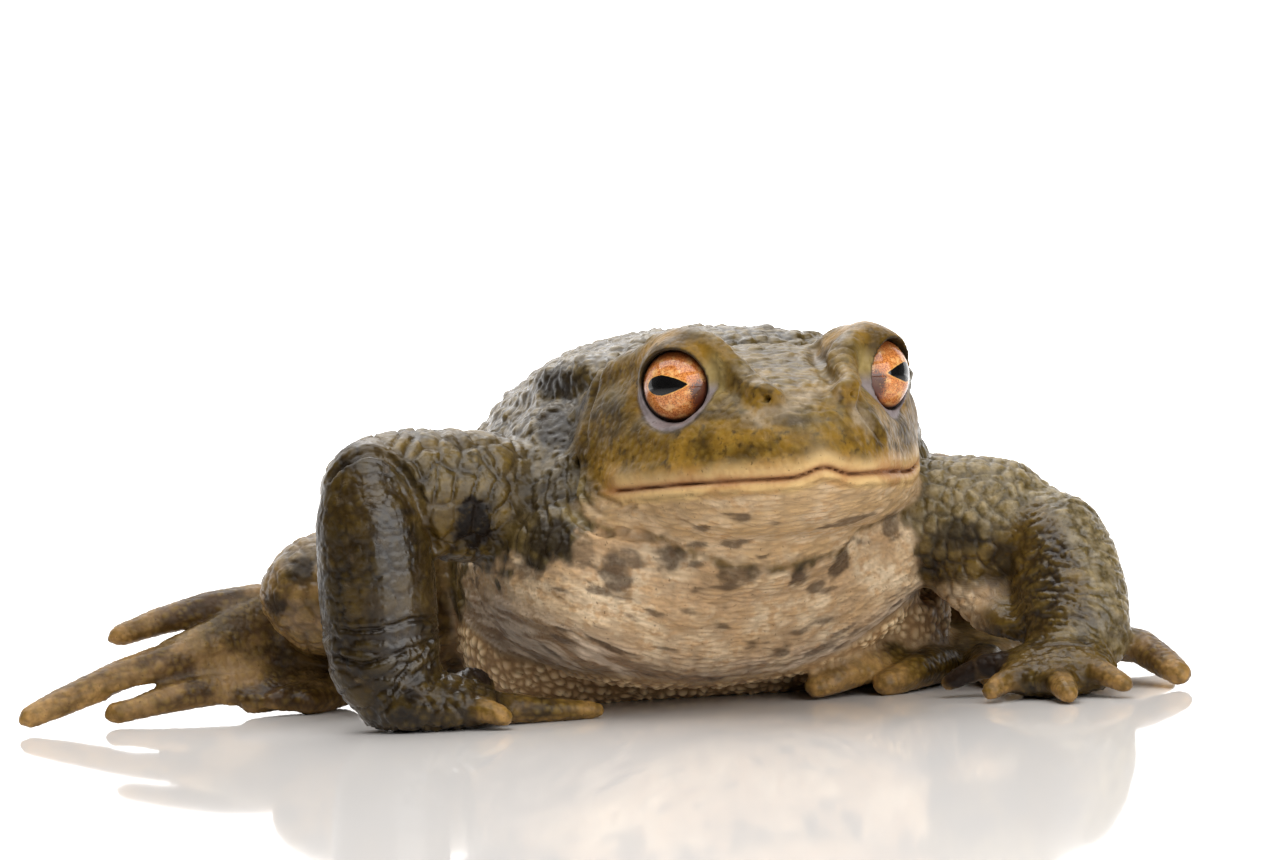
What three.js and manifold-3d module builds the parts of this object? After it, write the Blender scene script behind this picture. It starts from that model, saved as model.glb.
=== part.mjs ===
// A male common toad, life size, at rest in a wide-legged walking stance.
// Millimetres, +Z up. The toad faces -Y, its left side is +X, and the origin is
// on the floor in the middle of the patch of belly that it rests on.

import * as THREE from 'three';
import { mergeVertices } from 'three/addons/utils/BufferGeometryUtils.js';
import Module from 'manifold-3d';

const wasm = await Module();
wasm.setup();

// Driving dimensions
const GAP = 0.3;
const HEAD_YAW = 4.5;
const HEAD_PIVOT = [1.3, -15, 0];
const EYE_RADIUS = 3.3;
const EYE_SPACING = 15.2;
const EYE_SHIFT = 0.3;
const EYE_FORWARD = 7.0;
const EYE_HEIGHT = 26.35;
const EYE_TURN = 36;
const LID_THICKNESS = 1.0;
const LID_OPENING_AHEAD = 2.6;
const LID_OPENING_SHARE = 0.98;
const EYE_LIFT = 0.05;
const BROW_LIFT = 0.2;
const BROW_INWARD = 0.5;
const BROW_NARROWING = 0.6;
const BROW_BACK = 1.2;
const BROW_TURN = 20;
const SNOUT_LENGTH = 18.6;
const MOUTH_CORNER_HEIGHT = 18.3;
const MOUTH_FRONT_HEIGHT = 19.7;
const CHEST_JOIN = -6;
const RUMP_JOIN = 20;
const FINGER_RADIUS = 1.45;
const TOE_RADIUS = 2.1;
const TIP_SHARE = 0.52;
const DIGIT_FLATNESS = 0.9;
const WORLD = 300;
const ALMOST_ZERO = 1e-9;

// Colours of the skin, from the back to the belly and out to the toes
const COLOUR = {
  back: '#5b5433',
  head: '#7d6a31',
  limb: '#4f4529',
  jaw: '#c2a878',
  chest: '#b99f7c',
  digit: '#8d6a34',
  iris: '#c9672b',
};

const UP = new THREE.Vector3(0, 0, 1);
const AHEAD = new THREE.Vector3(0, -1, 0);

// A closed three.js geometry as a solid that can be joined and cut
function solidFrom(geometry) {
  const bare = geometry.clone();
  bare.deleteAttribute('normal');
  bare.deleteAttribute('uv');
  const merged = mergeVertices(bare, 1e-4);
  const vertProperties = new Float32Array(merged.attributes.position.array);
  const triVerts = new Uint32Array(merged.index.array);
  return new wasm.Manifold(new wasm.Mesh({ numProp: 3, vertProperties, triVerts }));
}

function signedPower(value, power) {
  return Math.abs(value) < ALMOST_ZERO ? 0 : Math.sign(value) * Math.abs(value) ** power;
}

function endRounding(along, share) {
  return along < share ? Math.sqrt(1 - (1 - along / share) ** 2) : 1;
}

// A fleshy form: rings along a smooth curve. Each station gives a point on the
// curve, then the half-width to the side, the height above and the depth below.
function flesh(stations, options = {}) {
  const {
    grow = 0, around = 12, along = 9, above = UP,
    start = 0.3, end = 0.3, squareTop = 2, squareBottom = 2,
  } = options;
  const points = stations.map(([x, y, z]) => new THREE.Vector3(x, y, z));
  const sizes = stations.map(([, , , side, up, down = up]) => new THREE.Vector3(side, up, down));
  const curve = new THREE.CatmullRomCurve3(points, false, 'centripetal');
  const radii = new THREE.CatmullRomCurve3(sizes, false, 'catmullrom', 0.5);
  const geometry = new THREE.SphereGeometry(1, around, along);
  const position = geometry.attributes.position;
  const vertex = new THREE.Vector3();
  for (let i = 0; i < position.count; i += 1) {
    vertex.fromBufferAttribute(position, i);
    const share = THREE.MathUtils.clamp((1 - vertex.y) / 2, 0, 1);
    const rounding = Math.min(endRounding(share, start), endRounding(1 - share, end));
    const centre = curve.getPoint(share);
    const size = radii.getPoint(share);
    const tangent = curve.getTangent(share);
    const side = new THREE.Vector3().crossVectors(tangent, above).normalize();
    const up = new THREE.Vector3().crossVectors(side, tangent).normalize();
    const turn = Math.hypot(vertex.x, vertex.z) < 1e-6 ? 0 : Math.atan2(-vertex.z, vertex.x);
    const square = Math.sin(turn) > 0 ? squareTop : squareBottom;
    const across = signedPower(Math.cos(turn), 2 / square);
    const upright = signedPower(Math.sin(turn), 2 / square);
    const height = upright > 0 ? size.y : size.z;
    const push = Math.max(0, 1 - share / start) * -grow + Math.max(0, 1 - (1 - share) / end) * grow;
    centre.addScaledVector(side, across * (size.x + grow) * rounding);
    centre.addScaledVector(up, upright * (height + grow) * rounding);
    centre.addScaledVector(tangent, push);
    position.setXYZ(i, centre.x, centre.y, centre.z);
  }
  return solidFrom(geometry);
}

function ball([x, y, z], [rx, ry, rz], around = 12, turn = 0) {
  const geometry = new THREE.SphereGeometry(1, around, Math.round(around * 0.7));
  geometry.rotateX(Math.PI / 2);
  geometry.scale(rx, ry, rz);
  geometry.rotateZ(THREE.MathUtils.degToRad(turn));
  geometry.translate(x, y, z);
  return solidFrom(geometry);
}

function block(low, high) {
  const size = high.map((value, axis) => value - low[axis]);
  const geometry = new THREE.BoxGeometry(...size);
  geometry.translate(...high.map((value, axis) => (value + low[axis]) / 2));
  return solidFrom(geometry);
}

const ABOVE_FLOOR = block([-WORLD, -WORLD, 0], [WORLD, WORLD, WORLD]);

// Each finished part is cut by the enlarged forms of the parts made before it
const group = new THREE.Group();
const placed = [];

function boxesMeet(a, b) {
  return [0, 1, 2].every((axis) => a.min[axis] < b.max[axis] && b.min[axis] < a.max[axis]);
}

function largestPiece(solid) {
  const pieces = solid.decompose();
  return pieces.sort((a, b) => b.volume() - a.volume())[0];
}

function place(name, solid, enlarged, colour, roughness = 0.45) {
  let shape = solid.intersect(ABOVE_FLOOR);
  for (const other of placed) {
    if (boxesMeet(shape.boundingBox(), other.box)) {
      shape = shape.subtract(other.enlarged);
    }
  }
  shape = largestPiece(shape);
  placed.push({ enlarged, box: enlarged.boundingBox() });
  const mesh = shape.getMesh();
  const geometry = new THREE.BufferGeometry();
  geometry.setAttribute('position', new THREE.BufferAttribute(mesh.vertProperties, 3));
  geometry.setIndex(new THREE.BufferAttribute(mesh.triVerts, 1));
  geometry.computeVertexNormals();
  const material = new THREE.MeshStandardMaterial({ color: colour, roughness, metalness: 0 });
  const part = new THREE.Mesh(geometry, material);
  part.name = name;
  group.add(part);
}

function placeFlesh(name, stations, options, colour) {
  const enlarged = flesh(stations, { ...options, grow: GAP });
  place(name, flesh(stations, options), enlarged, colour);
}

// The head is drawn facing -Y with the mouth corners at y = 0, then turned
const headPlacement = new THREE.Matrix4()
  .makeRotationZ(THREE.MathUtils.degToRad(HEAD_YAW))
  .setPosition(...HEAD_PIVOT);

function turned(solid) {
  return solid.transform(headPlacement.elements);
}

const HEAD_STATIONS = [
  [-0.2, 8, 19.5, 11.8, 8.5, 6.4],
  [-0.2, 4, 19.0, 13.7, 10.2, 6.0],
  [-0.25, 0, 18.5, 14.4, 11.0, 5.0],
  [-0.25, -5, 18.9, 13.0, 10.2, 5.0],
  [-0.2, -9.5, 19.3, 10.6, 8.6, 5.2],
  [0.1, -13.5, 19.8, 8.0, 6.8, 4.4],
  [0.4, -SNOUT_LENGTH, 20.6, 5.0, 4.6, 3.0],
];

function eyeCentre(side) {
  return [EYE_SHIFT + side * EYE_SPACING / 2, -EYE_FORWARD, EYE_HEIGHT];
}

function eyeAxis(side) {
  const turn = THREE.MathUtils.degToRad(EYE_TURN);
  return new THREE.Vector3(side * Math.sin(turn), -Math.cos(turn), EYE_LIFT);
}

function eyeball(side, grow = 0) {
  const radius = EYE_RADIUS + grow;
  return ball(eyeCentre(side), [radius, radius, radius]);
}

// The upper lid and the brow above it are one mound over the eye
function browMound(side, grow = 0) {
  const [x, y, z] = eyeCentre(side);
  const reach = EYE_RADIUS + LID_THICKNESS + grow;
  const middle = [x - side * BROW_INWARD, y + BROW_BACK, z + BROW_LIFT];
  return ball(middle, [reach - BROW_NARROWING, reach + BROW_BACK, reach], 12, side * BROW_TURN);
}

// The opening between the lids is taken out by a ball set ahead of the eye
function lidOpening(side) {
  const [x, y, z] = eyeCentre(side);
  const axis = eyeAxis(side);
  const ahead = LID_OPENING_AHEAD;
  const width = EYE_RADIUS * LID_OPENING_SHARE;
  return ball([x + axis.x * ahead, y + axis.y * ahead, z + axis.z * ahead], [width, width, width], 12);
}

function wholeHead(grow = 0) {
  let head = flesh(HEAD_STATIONS, {
    grow, around: 22, along: 14, start: 0.16, end: 0.16, squareTop: 2.5, squareBottom: 2.6,
  });
  for (const side of [-1, 1]) {
    head = head.add(browMound(side, grow));
  }
  return head;
}

function mouthHalf(above) {
  const rise = (MOUTH_FRONT_HEIGHT - MOUTH_CORNER_HEIGHT) / SNOUT_LENGTH;
  const height = above ? WORLD / 2 + GAP / 2 : -WORLD / 2 - GAP / 2;
  const geometry = new THREE.BoxGeometry(WORLD, WORLD, WORLD);
  geometry.translate(0, 0, height);
  geometry.rotateX(-Math.atan(rise));
  geometry.translate(0, 0, MOUTH_CORNER_HEIGHT);
  return solidFrom(geometry);
}

function buildHead() {
  let head = wholeHead();
  for (const side of [-1, 1]) {
    const name = side > 0 ? 'eye_left' : 'eye_right';
    place(name, turned(eyeball(side)), turned(eyeball(side, GAP)), COLOUR.iris, 0.1);
    head = head.subtract(lidOpening(side));
  }
  for (const side of [-1, 1]) {
    buildParotoid(side);
  }
  const upper = turned(head.intersect(mouthHalf(true)));
  const lower = turned(head.intersect(mouthHalf(false)));
  const nothing = turned(ball([0, 0, -WORLD], [1, 1, 1]));
  place('head', upper, nothing, COLOUR.head);
  place('lower_jaw', lower, turned(wholeHead(GAP)), COLOUR.jaw);
}

// A long gland behind each eye, half sunk in the neck
const PAROTOID_STATIONS = [
  [9.0, -13.0, 27.3, 2.2, 1.9],
  [11.4, -8.0, 27.1, 3.1, 2.6],
  [13.6, -3.0, 25.8, 3.2, 2.6],
  [15.2, 2.0, 23.8, 2.3, 2.0],
];

function buildParotoid(side) {
  const name = side > 0 ? 'parotoid_left' : 'parotoid_right';
  const stations = PAROTOID_STATIONS.map(([out, ...rest]) => [HEAD_PIVOT[0] + side * out, ...rest]);
  placeFlesh(name, stations, { around: 10, along: 9 }, COLOUR.back);
}

// The trunk is the chest's bag of skin hanging in front of the belly and rump.
// The two forms are joined, and the whole is parted across into three.
const CHEST_STATIONS = [
  [-0.9, -20.5, 11.5, 11.5, 4.0, 5.2],
  [-1.6, -16.5, 12.0, 16.0, 8.5, 8.8],
  [-2.0, -11, 12.0, 18.6, 15.5, 10.6],
  [-1.8, -4, 12.0, 19.0, 19.2, 10.2],
  [-1.4, 4, 12.0, 16.0, 17.0, 8.0],
];
const BELLY_STATIONS = [
  [-1.6, -10, 11.0, 16.3, 13.0, 9.6],
  [-0.9, -4, 11.5, 20.4, 18.7, 11.9],
  [0.3, 5, 12.0, 21.2, 19.1, 12.6],
  [0.7, 13, 12.0, 21.0, 18.9, 12.6],
  [0.0, 22, 12.0, 18.8, 16.6, 12.1],
  [-1.5, 30, 12.0, 13.6, 11.8, 9.8],
  [-1.8, 38, 12.0, 6.4, 5.4, 4.5],
];

function trunkForm(grow = 0) {
  const belly = flesh(BELLY_STATIONS, {
    grow, around: 24, along: 14, start: 0.14, end: 0.16, squareTop: 2.3, squareBottom: 5.5,
  });
  const chest = flesh(CHEST_STATIONS, {
    grow, around: 24, along: 12, start: 0.18, end: 0.3, squareTop: 2.1, squareBottom: 2.3,
  });
  return belly.add(chest);
}

function buildTrunk() {
  const whole = trunkForm();
  const joins = [-WORLD, CHEST_JOIN, RUMP_JOIN, WORLD];
  const names = ['chest', 'belly', 'rump'];
  const nothing = ball([0, 0, -WORLD], [1, 1, 1]);
  names.forEach((name, index) => {
    const low = [-WORLD, joins[index] + GAP / 2, -WORLD];
    const high = [WORLD, joins[index + 1] - GAP / 2, WORLD];
    const part = whole.intersect(block(low, high));
    const last = index === names.length - 1;
    const colour = name === 'chest' ? COLOUR.chest : COLOUR.back;
    place(name, part, last ? trunkForm(GAP) : nothing, colour);
  });
}

// Arms. Both elbows stand out and up, and the hands turn inwards.
const ARMS = {
  right: {
    upper: [
      [-13.5, -9.5, 16.5, 4.6, 5.6],
      [-20.5, -10.5, 18.2, 4.9, 5.6],
      [-26.5, -11.5, 18.9, 4.8, 5.4],
      [-33.8, -12.0, 19.7, 4.8, 4.8],
    ],
    fore: [
      [-30.4, -13.0, 23.8, 4.7, 4.2],
      [-29.8, -14.2, 17.5, 4.8, 4.0],
      [-29.6, -13.9, 11.0, 4.9, 4.2],
      [-29.4, -13.7, 5.8, 4.8, 4.0],
      [-28.4, -13.9, 1.2, 4.2, 3.4],
    ],
    hand: [
      [-32.0, -13.2, 1.8, 3.4, 3.0],
      [-27.6, -14.0, 2.2, 4.4, 3.1],
      [-23.0, -14.9, 1.7, 4.2, 2.3],
      [-19.6, -15.3, 1.2, 3.2, 1.5],
    ],
    fingers: [
      [[-24.0, -12.2, 2.6], [-21.8, -10.4, 2.2], [-20.4, -8.8, 1.1]],
      [[-22.6, -13.2, 1.6], [-18.6, -12.4, 1.2], [-15.6, -11.6, 0.7]],
      [[-21.8, -15.3, 1.5], [-16.8, -15.4, 1.0], [-11.7, -15.2, 0.6]],
      [[-23.6, -17.0, 1.6], [-21.8, -18.8, 1.5], [-20.2, -20.0, 0.7]],
    ],
  },
  left: {
    upper: [
      [12.5, -9.0, 14.8, 4.6, 5.0, 5.4],
      [17.5, -11.0, 14.4, 4.9, 5.1, 6.4],
      [22.6, -12.8, 13.8, 4.8, 5.2, 8.6],
      [27.4, -13.8, 12.4, 3.8, 4.0, 4.6],
    ],
    fore: [
      [24.4, -13.2, 16.2, 3.8, 3.8],
      [25.6, -15.4, 12.6, 4.6, 4.3],
      [26.6, -17.4, 8.6, 4.8, 4.3],
      [26.4, -19.4, 4.9, 4.6, 3.9],
      [25.4, -21.2, 1.6, 4.2, 3.0],
    ],
    hand: [
      [26.2, -18.8, 2.0, 3.4, 2.8],
      [24.4, -21.8, 2.2, 4.8, 2.9],
      [22.8, -24.8, 1.7, 4.7, 2.1],
      [22.0, -27.2, 1.2, 3.6, 1.4],
    ],
    fingers: [
      [[21.6, -21.8, 2.6], [18.2, -20.2, 2.4], [14.8, -19.2, 0.9]],
      [[21.4, -23.4, 2.0], [18.8, -24.8, 1.6], [16.6, -26.4, 0.7]],
      [[22.6, -25.6, 1.7], [22.4, -28.6, 1.2], [22.0, -31.6, 0.6]],
      [[24.4, -24.4, 2.4], [25.9, -27.2, 2.0], [27.6, -30.0, 0.8]],
    ],
  },
};

// A digit tapers from its base to a blunt tip, which presses flat on the floor
function buildDigit(name, points, radius, slim = 1) {
  const last = points.length - 1;
  const stations = points.map(([x, y, z], index) => {
    const size = THREE.MathUtils.lerp(radius, radius * TIP_SHARE, index / last) * slim;
    return [x, y, z, size, size * DIGIT_FLATNESS];
  });
  placeFlesh(name, stations, { around: 7, along: 6, start: 0.25, end: 0.12 }, COLOUR.digit);
}

function buildArm(side) {
  const arm = ARMS[side];
  placeFlesh(`upper_arm_${side}`, arm.upper, { around: 12, along: 8 }, COLOUR.limb);
  placeFlesh(`forearm_${side}`, arm.fore, { around: 12, along: 9, above: AHEAD, end: 0.2 }, COLOUR.limb);
  placeFlesh(`hand_${side}`, arm.hand, { around: 12, along: 7 }, COLOUR.limb);
  arm.fingers.forEach((points, index) => {
    buildDigit(`finger_${index + 1}_${side}`, points, FINGER_RADIUS);
  });
}

// Hind legs. The right foot lies out to the side on its inner edge, with the
// outer toes raised. The left foot is planted flat behind the left hand.
const LEGS = {
  right: {
    thigh: [
      [-11, 22.5, 12.5, 6.0, 6.6],
      [-19, 15.0, 9.0, 6.4, 8.0],
      [-28, 8.4, 10.0, 5.6, 6.2],
      [-37.2, 2.2, 10.5, 5.6, 5.6],
    ],
    shank: [
      [-35.4, 5.0, 9.2, 3.8, 4.0],
      [-30.0, 12.0, 7.4, 4.4, 4.2],
      [-24.0, 19.0, 5.6, 3.5, 3.3],
      [-17.8, 25.4, 4.4, 2.4, 2.4],
    ],
    ankle: [
      [-16.8, 26.0, 3.6, 2.2, 2.2],
      [-20.2, 22.0, 4.0, 2.4, 2.2],
      [-25.5, 17.0, 4.6, 2.5, 2.4],
    ],
    foot: [
      [-24.6, 17.2, 5.0, 2.0, 3.0],
      [-29.6, 13.8, 5.4, 2.1, 4.6],
      [-35.4, 11.6, 5.2, 1.6, 5.0],
      [-41.4, 9.8, 5.0, 1.0, 4.0],
      [-46.6, 9.2, 4.6, 0.7, 2.6],
    ],
    toes: [
      [[-29.5, 11.8, 2.2], [-32.2, 8.5, 1.3], [-34.8, 5.0, 0.9]],
      [[-31.5, 11.8, 2.4], [-35.6, 9.4, 1.7], [-39.6, 6.9, 1.1]],
      [[-34.0, 11.6, 3.0], [-40.1, 9.6, 2.6], [-46.0, 8.0, 2.0], [-51.5, 6.5, 0.9]],
      [[-36.0, 11.6, 6.4], [-42.7, 10.0, 5.8], [-49.6, 8.5, 4.1], [-54.8, 7.2, 2.3], [-58.6, 6.0, 0.9]],
      [[-34.0, 13.0, 8.8], [-38.6, 12.6, 9.5], [-44.4, 12.0, 8.7], [-50.8, 11.0, 7.0]],
    ],
  },
  left: {
    thigh: [
      [10, 21.5, 12.5, 6.2, 6.6],
      [17.0, 14.0, 13.2, 6.6, 6.6],
      [22.6, 6.0, 12.8, 5.8, 6.2],
      [27.0, -2.4, 11.0, 4.6, 4.8],
    ],
    shank: [
      [27.4, -0.6, 8.8, 3.8, 4.0],
      [26.0, 7.0, 7.0, 4.3, 4.2],
      [23.0, 14.5, 5.4, 3.4, 3.3],
      [19.8, 20.8, 4.2, 2.4, 2.4],
    ],
    ankle: [
      [19.4, 21.2, 2.8, 2.2, 2.2],
      [20.0, 15.5, 2.6, 2.4, 2.2],
      [21.0, 9.0, 2.6, 2.5, 2.2],
    ],
    foot: [
      [20.8, 9.8, 2.2, 2.6, 2.1],
      [21.6, 5.0, 2.1, 3.6, 2.1],
      [22.6, 0.5, 2.0, 5.0, 2.0],
      [23.2, -4.5, 1.7, 5.0, 1.5],
    ],
    toes: [
      [[19.4, -1.6, 2.0], [12.0, -9.4, 2.5], [8.4, -12.2, 1.7], [4.9, -13.4, 0.9]],
      [[20.6, -3.2, 1.7], [16.0, -9.6, 1.7], [13.4, -12.2, 1.2], [10.8, -13.8, 0.8]],
      [[22.6, -4.0, 1.7], [21.4, -9.5, 1.5], [20.6, -14.4, 0.9]],
      [[25.6, -3.4, 1.8], [30.4, -11.5, 3.2], [31.9, -18.6, 3.1], [32.7, -22.6, 1.9], [33.4, -26.0, 0.8]],
      [[26.4, -0.6, 1.8], [31.4, -3.6, 2.4], [35.2, -7.2, 2.0], [37.4, -10.6, 0.9]],
    ],
  },
};

function buildLeg(side) {
  const leg = LEGS[side];
  placeFlesh(`thigh_${side}`, leg.thigh, { around: 12, along: 9, end: 0.24 }, COLOUR.limb);
  placeFlesh(`shank_${side}`, leg.shank, { around: 10, along: 8 }, COLOUR.limb);
  placeFlesh(`ankle_${side}`, leg.ankle, { around: 10, along: 7 }, COLOUR.limb);
  placeFlesh(`foot_${side}`, leg.foot, { around: 10, along: 7 }, COLOUR.limb);
  leg.toes.forEach((points, index) => {
    buildDigit(`toe_${index + 1}_${side}`, points, TOE_RADIUS);
  });
}

buildHead();
buildTrunk();
for (const side of ['right', 'left']) {
  buildArm(side);
  buildLeg(side);
}

export default group;
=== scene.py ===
"""The skin, eyes, floor and light of a life-size common toad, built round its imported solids."""
import math

import bpy
import numpy as np
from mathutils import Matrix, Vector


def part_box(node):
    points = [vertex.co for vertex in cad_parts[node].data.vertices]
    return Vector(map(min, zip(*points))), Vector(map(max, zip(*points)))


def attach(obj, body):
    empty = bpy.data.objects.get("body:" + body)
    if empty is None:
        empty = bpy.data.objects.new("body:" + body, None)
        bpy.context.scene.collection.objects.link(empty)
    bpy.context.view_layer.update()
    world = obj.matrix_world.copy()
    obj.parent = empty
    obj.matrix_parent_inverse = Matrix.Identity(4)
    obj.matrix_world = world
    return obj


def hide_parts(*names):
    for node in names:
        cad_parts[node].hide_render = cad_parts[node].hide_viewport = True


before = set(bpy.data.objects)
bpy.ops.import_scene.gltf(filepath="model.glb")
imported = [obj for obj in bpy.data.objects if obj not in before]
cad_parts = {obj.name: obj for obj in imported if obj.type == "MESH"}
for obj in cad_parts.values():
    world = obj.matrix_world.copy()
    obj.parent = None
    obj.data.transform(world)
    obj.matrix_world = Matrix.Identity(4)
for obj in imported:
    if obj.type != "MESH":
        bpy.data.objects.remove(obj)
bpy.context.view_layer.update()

import openvdb
from mathutils import Matrix, Vector

MM = 0.001

# The camera stands low in front of the toad, a little to its right, and is tipped
# slightly to one side. It is a 105 mm lens at about a third of a metre.
CAMERA_LENS = 105.0
CAMERA_SENSOR = 36.0
CAMERA_TURN = math.radians(-10.0)
CAMERA_PITCH = math.radians(1.115)
CAMERA_ROLL = math.radians(3.1)
CAMERA_DISTANCE = 0.317
CAMERA_HEIGHT = 0.0288
CAMERA_SIDESTEP = -0.0050949

look = Vector((-math.sin(CAMERA_TURN) * math.cos(CAMERA_PITCH),
               math.cos(CAMERA_TURN) * math.cos(CAMERA_PITCH),
               -math.sin(CAMERA_PITCH)))
level_right = Vector((math.cos(CAMERA_TURN), math.sin(CAMERA_TURN), 0.0))
level_up = level_right.cross(look)
right = level_right * math.cos(CAMERA_ROLL) - level_up * math.sin(CAMERA_ROLL)
up = level_right * math.sin(CAMERA_ROLL) + level_up * math.cos(CAMERA_ROLL)
camera_data = bpy.data.cameras.new("camera")
camera_data.lens = CAMERA_LENS
camera_data.sensor_width = CAMERA_SENSOR
camera_data.sensor_fit = "HORIZONTAL"
camera_data.clip_start = 0.01
camera = bpy.data.objects.new("camera", camera_data)
back_off = Vector((-math.sin(CAMERA_TURN), math.cos(CAMERA_TURN), 0.0)) * CAMERA_DISTANCE
spot = level_right * CAMERA_SIDESTEP - back_off + Vector((0.0, 0.0, CAMERA_HEIGHT))
camera.matrix_world = Matrix((
    (right.x, up.x, -look.x, spot.x),
    (right.y, up.y, -look.y, spot.y),
    (right.z, up.z, -look.z, spot.z),
    (0.0, 0.0, 0.0, 1.0),
))
bpy.context.scene.collection.objects.link(camera)
bpy.context.scene.camera = camera
bpy.context.scene.view_settings.view_transform = "Standard"

# The light is a white room, dim in front and bright behind: a broad soft box overhead, a wide
# one ahead at the right, which draws the long glint down the wet forearm, and one in front.
FRONT_STRENGTH = 0.06
BACK_STRENGTH = 0.55
SOFT_BOXES = [
    ("overhead_light", (-0.10, 0.12, 0.50), (0.0, 0.0, 0.01), 0.70, 0.50, 3.6),
    ("right_light", (0.20, -0.45, 0.15), (-0.02, -0.01, 0.015), 0.54, 0.28, 1.7),
    ("front_light", (0.05, -0.42, 0.60), (0.0, -0.01, 0.015), 0.70, 0.40, 3.0),
]

world = bpy.data.worlds.new("white_room")
world.use_nodes = True
world_nodes = world.node_tree.nodes
world_place = world_nodes.new("ShaderNodeTexCoord")
world_split = world_nodes.new("ShaderNodeSeparateXYZ")
world_fade = world_nodes.new("ShaderNodeMapRange")
world_fade.interpolation_type = "SMOOTHSTEP"
world_fade.inputs["From Min"].default_value = -0.6
world_fade.inputs["From Max"].default_value = 0.6
world_fade.inputs["To Min"].default_value = FRONT_STRENGTH
world_fade.inputs["To Max"].default_value = BACK_STRENGTH
world.node_tree.links.new(world_place.outputs["Generated"], world_split.inputs[0])
world.node_tree.links.new(world_split.outputs["Y"], world_fade.inputs["Value"])
world.node_tree.links.new(world_fade.outputs["Result"], world_nodes["Background"].inputs["Strength"])
bpy.context.scene.world = world
for name, place, aim, wide, tall, power in SOFT_BOXES:
    lamp = bpy.data.lights.new(name, "AREA")
    lamp.shape = "RECTANGLE"
    lamp.size = wide
    lamp.size_y = tall
    lamp.energy = power
    lamp_object = bpy.data.objects.new(name, lamp)
    lamp_object.location = place
    lamp_object.rotation_euler = (Vector(aim) - Vector(place)).to_track_quat("-Z", "Y").to_euler()
    bpy.context.scene.collection.objects.link(lamp_object)

# The floor is one pale glossy sheet that sweeps up into a lit white wall behind the
# toad, so that no edge shows between the floor and the background.
FLOOR_HALF_WIDTH = 1.6
FLOOR_FRONT = -1.2
FLOOR_BEND_START = 0.30
FLOOR_BEND_RADIUS = 0.40
FLOOR_WALL_HEIGHT = 0.9
FLOOR_COLOUR = (0.80, 0.77, 0.745, 1.0)
WALL_GLOW = 1.1
GLOW_START = 0.18
GLOW_END = 0.42
BEND_STEPS = 24

profile = [(FLOOR_FRONT, 0.0), (FLOOR_BEND_START, 0.0)]
for step in range(1, BEND_STEPS + 1):
    turn = math.pi / 2 * step / BEND_STEPS
    profile.append((FLOOR_BEND_START + FLOOR_BEND_RADIUS * math.sin(turn),
                    FLOOR_BEND_RADIUS * (1.0 - math.cos(turn))))
profile.append((profile[-1][0], FLOOR_WALL_HEIGHT))
floor_points = [(x, y, z) for y, z in profile for x in (-FLOOR_HALF_WIDTH, FLOOR_HALF_WIDTH)]
floor_faces = [(2 * k, 2 * k + 1, 2 * k + 3, 2 * k + 2) for k in range(len(profile) - 1)]
floor_mesh = bpy.data.meshes.new("floor")
floor_mesh.from_pydata(floor_points, [], floor_faces)
floor_mesh.polygons.foreach_set("use_smooth", [True] * len(floor_faces))
floor = bpy.data.objects.new("floor", floor_mesh)
bpy.context.scene.collection.objects.link(floor)
floor_material = bpy.data.materials.new("pale_floor")
floor_material.use_nodes = True
floor_nodes = floor_material.node_tree.nodes
floor_shader = floor_nodes["Principled BSDF"]
floor_shader.inputs["Base Color"].default_value = FLOOR_COLOUR
floor_shader.inputs["Roughness"].default_value = 0.05
floor_shader.inputs["IOR"].default_value = 1.42
floor_shader.inputs["Emission Color"].default_value = (1.0, 1.0, 1.0, 1.0)
floor_place = floor_nodes.new("ShaderNodeNewGeometry")
floor_split = floor_nodes.new("ShaderNodeSeparateXYZ")
floor_glow = floor_nodes.new("ShaderNodeMapRange")
floor_glow.interpolation_type = "SMOOTHSTEP"
floor_glow.inputs["From Min"].default_value = GLOW_START
floor_glow.inputs["From Max"].default_value = GLOW_END
floor_glow.inputs["To Max"].default_value = WALL_GLOW
floor_material.node_tree.links.new(floor_place.outputs["Position"], floor_split.inputs[0])
floor_material.node_tree.links.new(floor_split.outputs["Y"], floor_glow.inputs["Value"])
floor_material.node_tree.links.new(floor_glow.outputs["Result"], floor_shader.inputs["Emission Strength"])
floor_mesh.materials.append(floor_material)

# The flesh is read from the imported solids, in millimetres, as a block of distances to
# the surface (negative inside). Blurring it closes the thin gaps between the solids.
CELL = 0.19
REACH = 2.4
BODY_SOFTNESS = 0.62
DIGIT_SOFTNESS = 0.32
DIGIT_MARGIN = 1.6
DIGIT_PLUMPING = 0.12


def is_digit(name):
    return name.startswith(("finger", "toe"))


def node_surface(names):
    points, faces, count = [], [], 0
    for name in names:
        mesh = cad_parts[name].data
        spots = np.empty(len(mesh.vertices) * 3, np.float32)
        mesh.vertices.foreach_get("co", spots)
        mesh.calc_loop_triangles()
        corners = np.empty(len(mesh.loop_triangles) * 3, np.int32)
        mesh.loop_triangles.foreach_get("vertices", corners)
        points.append(spots.reshape(-1, 3) / MM)
        faces.append(corners.reshape(-1, 3) + count)
        count += len(mesh.vertices)
    return np.vstack(points), np.vstack(faces)


def weld(points, faces):
    keys = np.round(points / 1e-4).astype(np.int64)
    _, first, same = np.unique(keys, axis=0, return_index=True, return_inverse=True)
    return points[first], same.reshape(-1)[faces]


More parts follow.
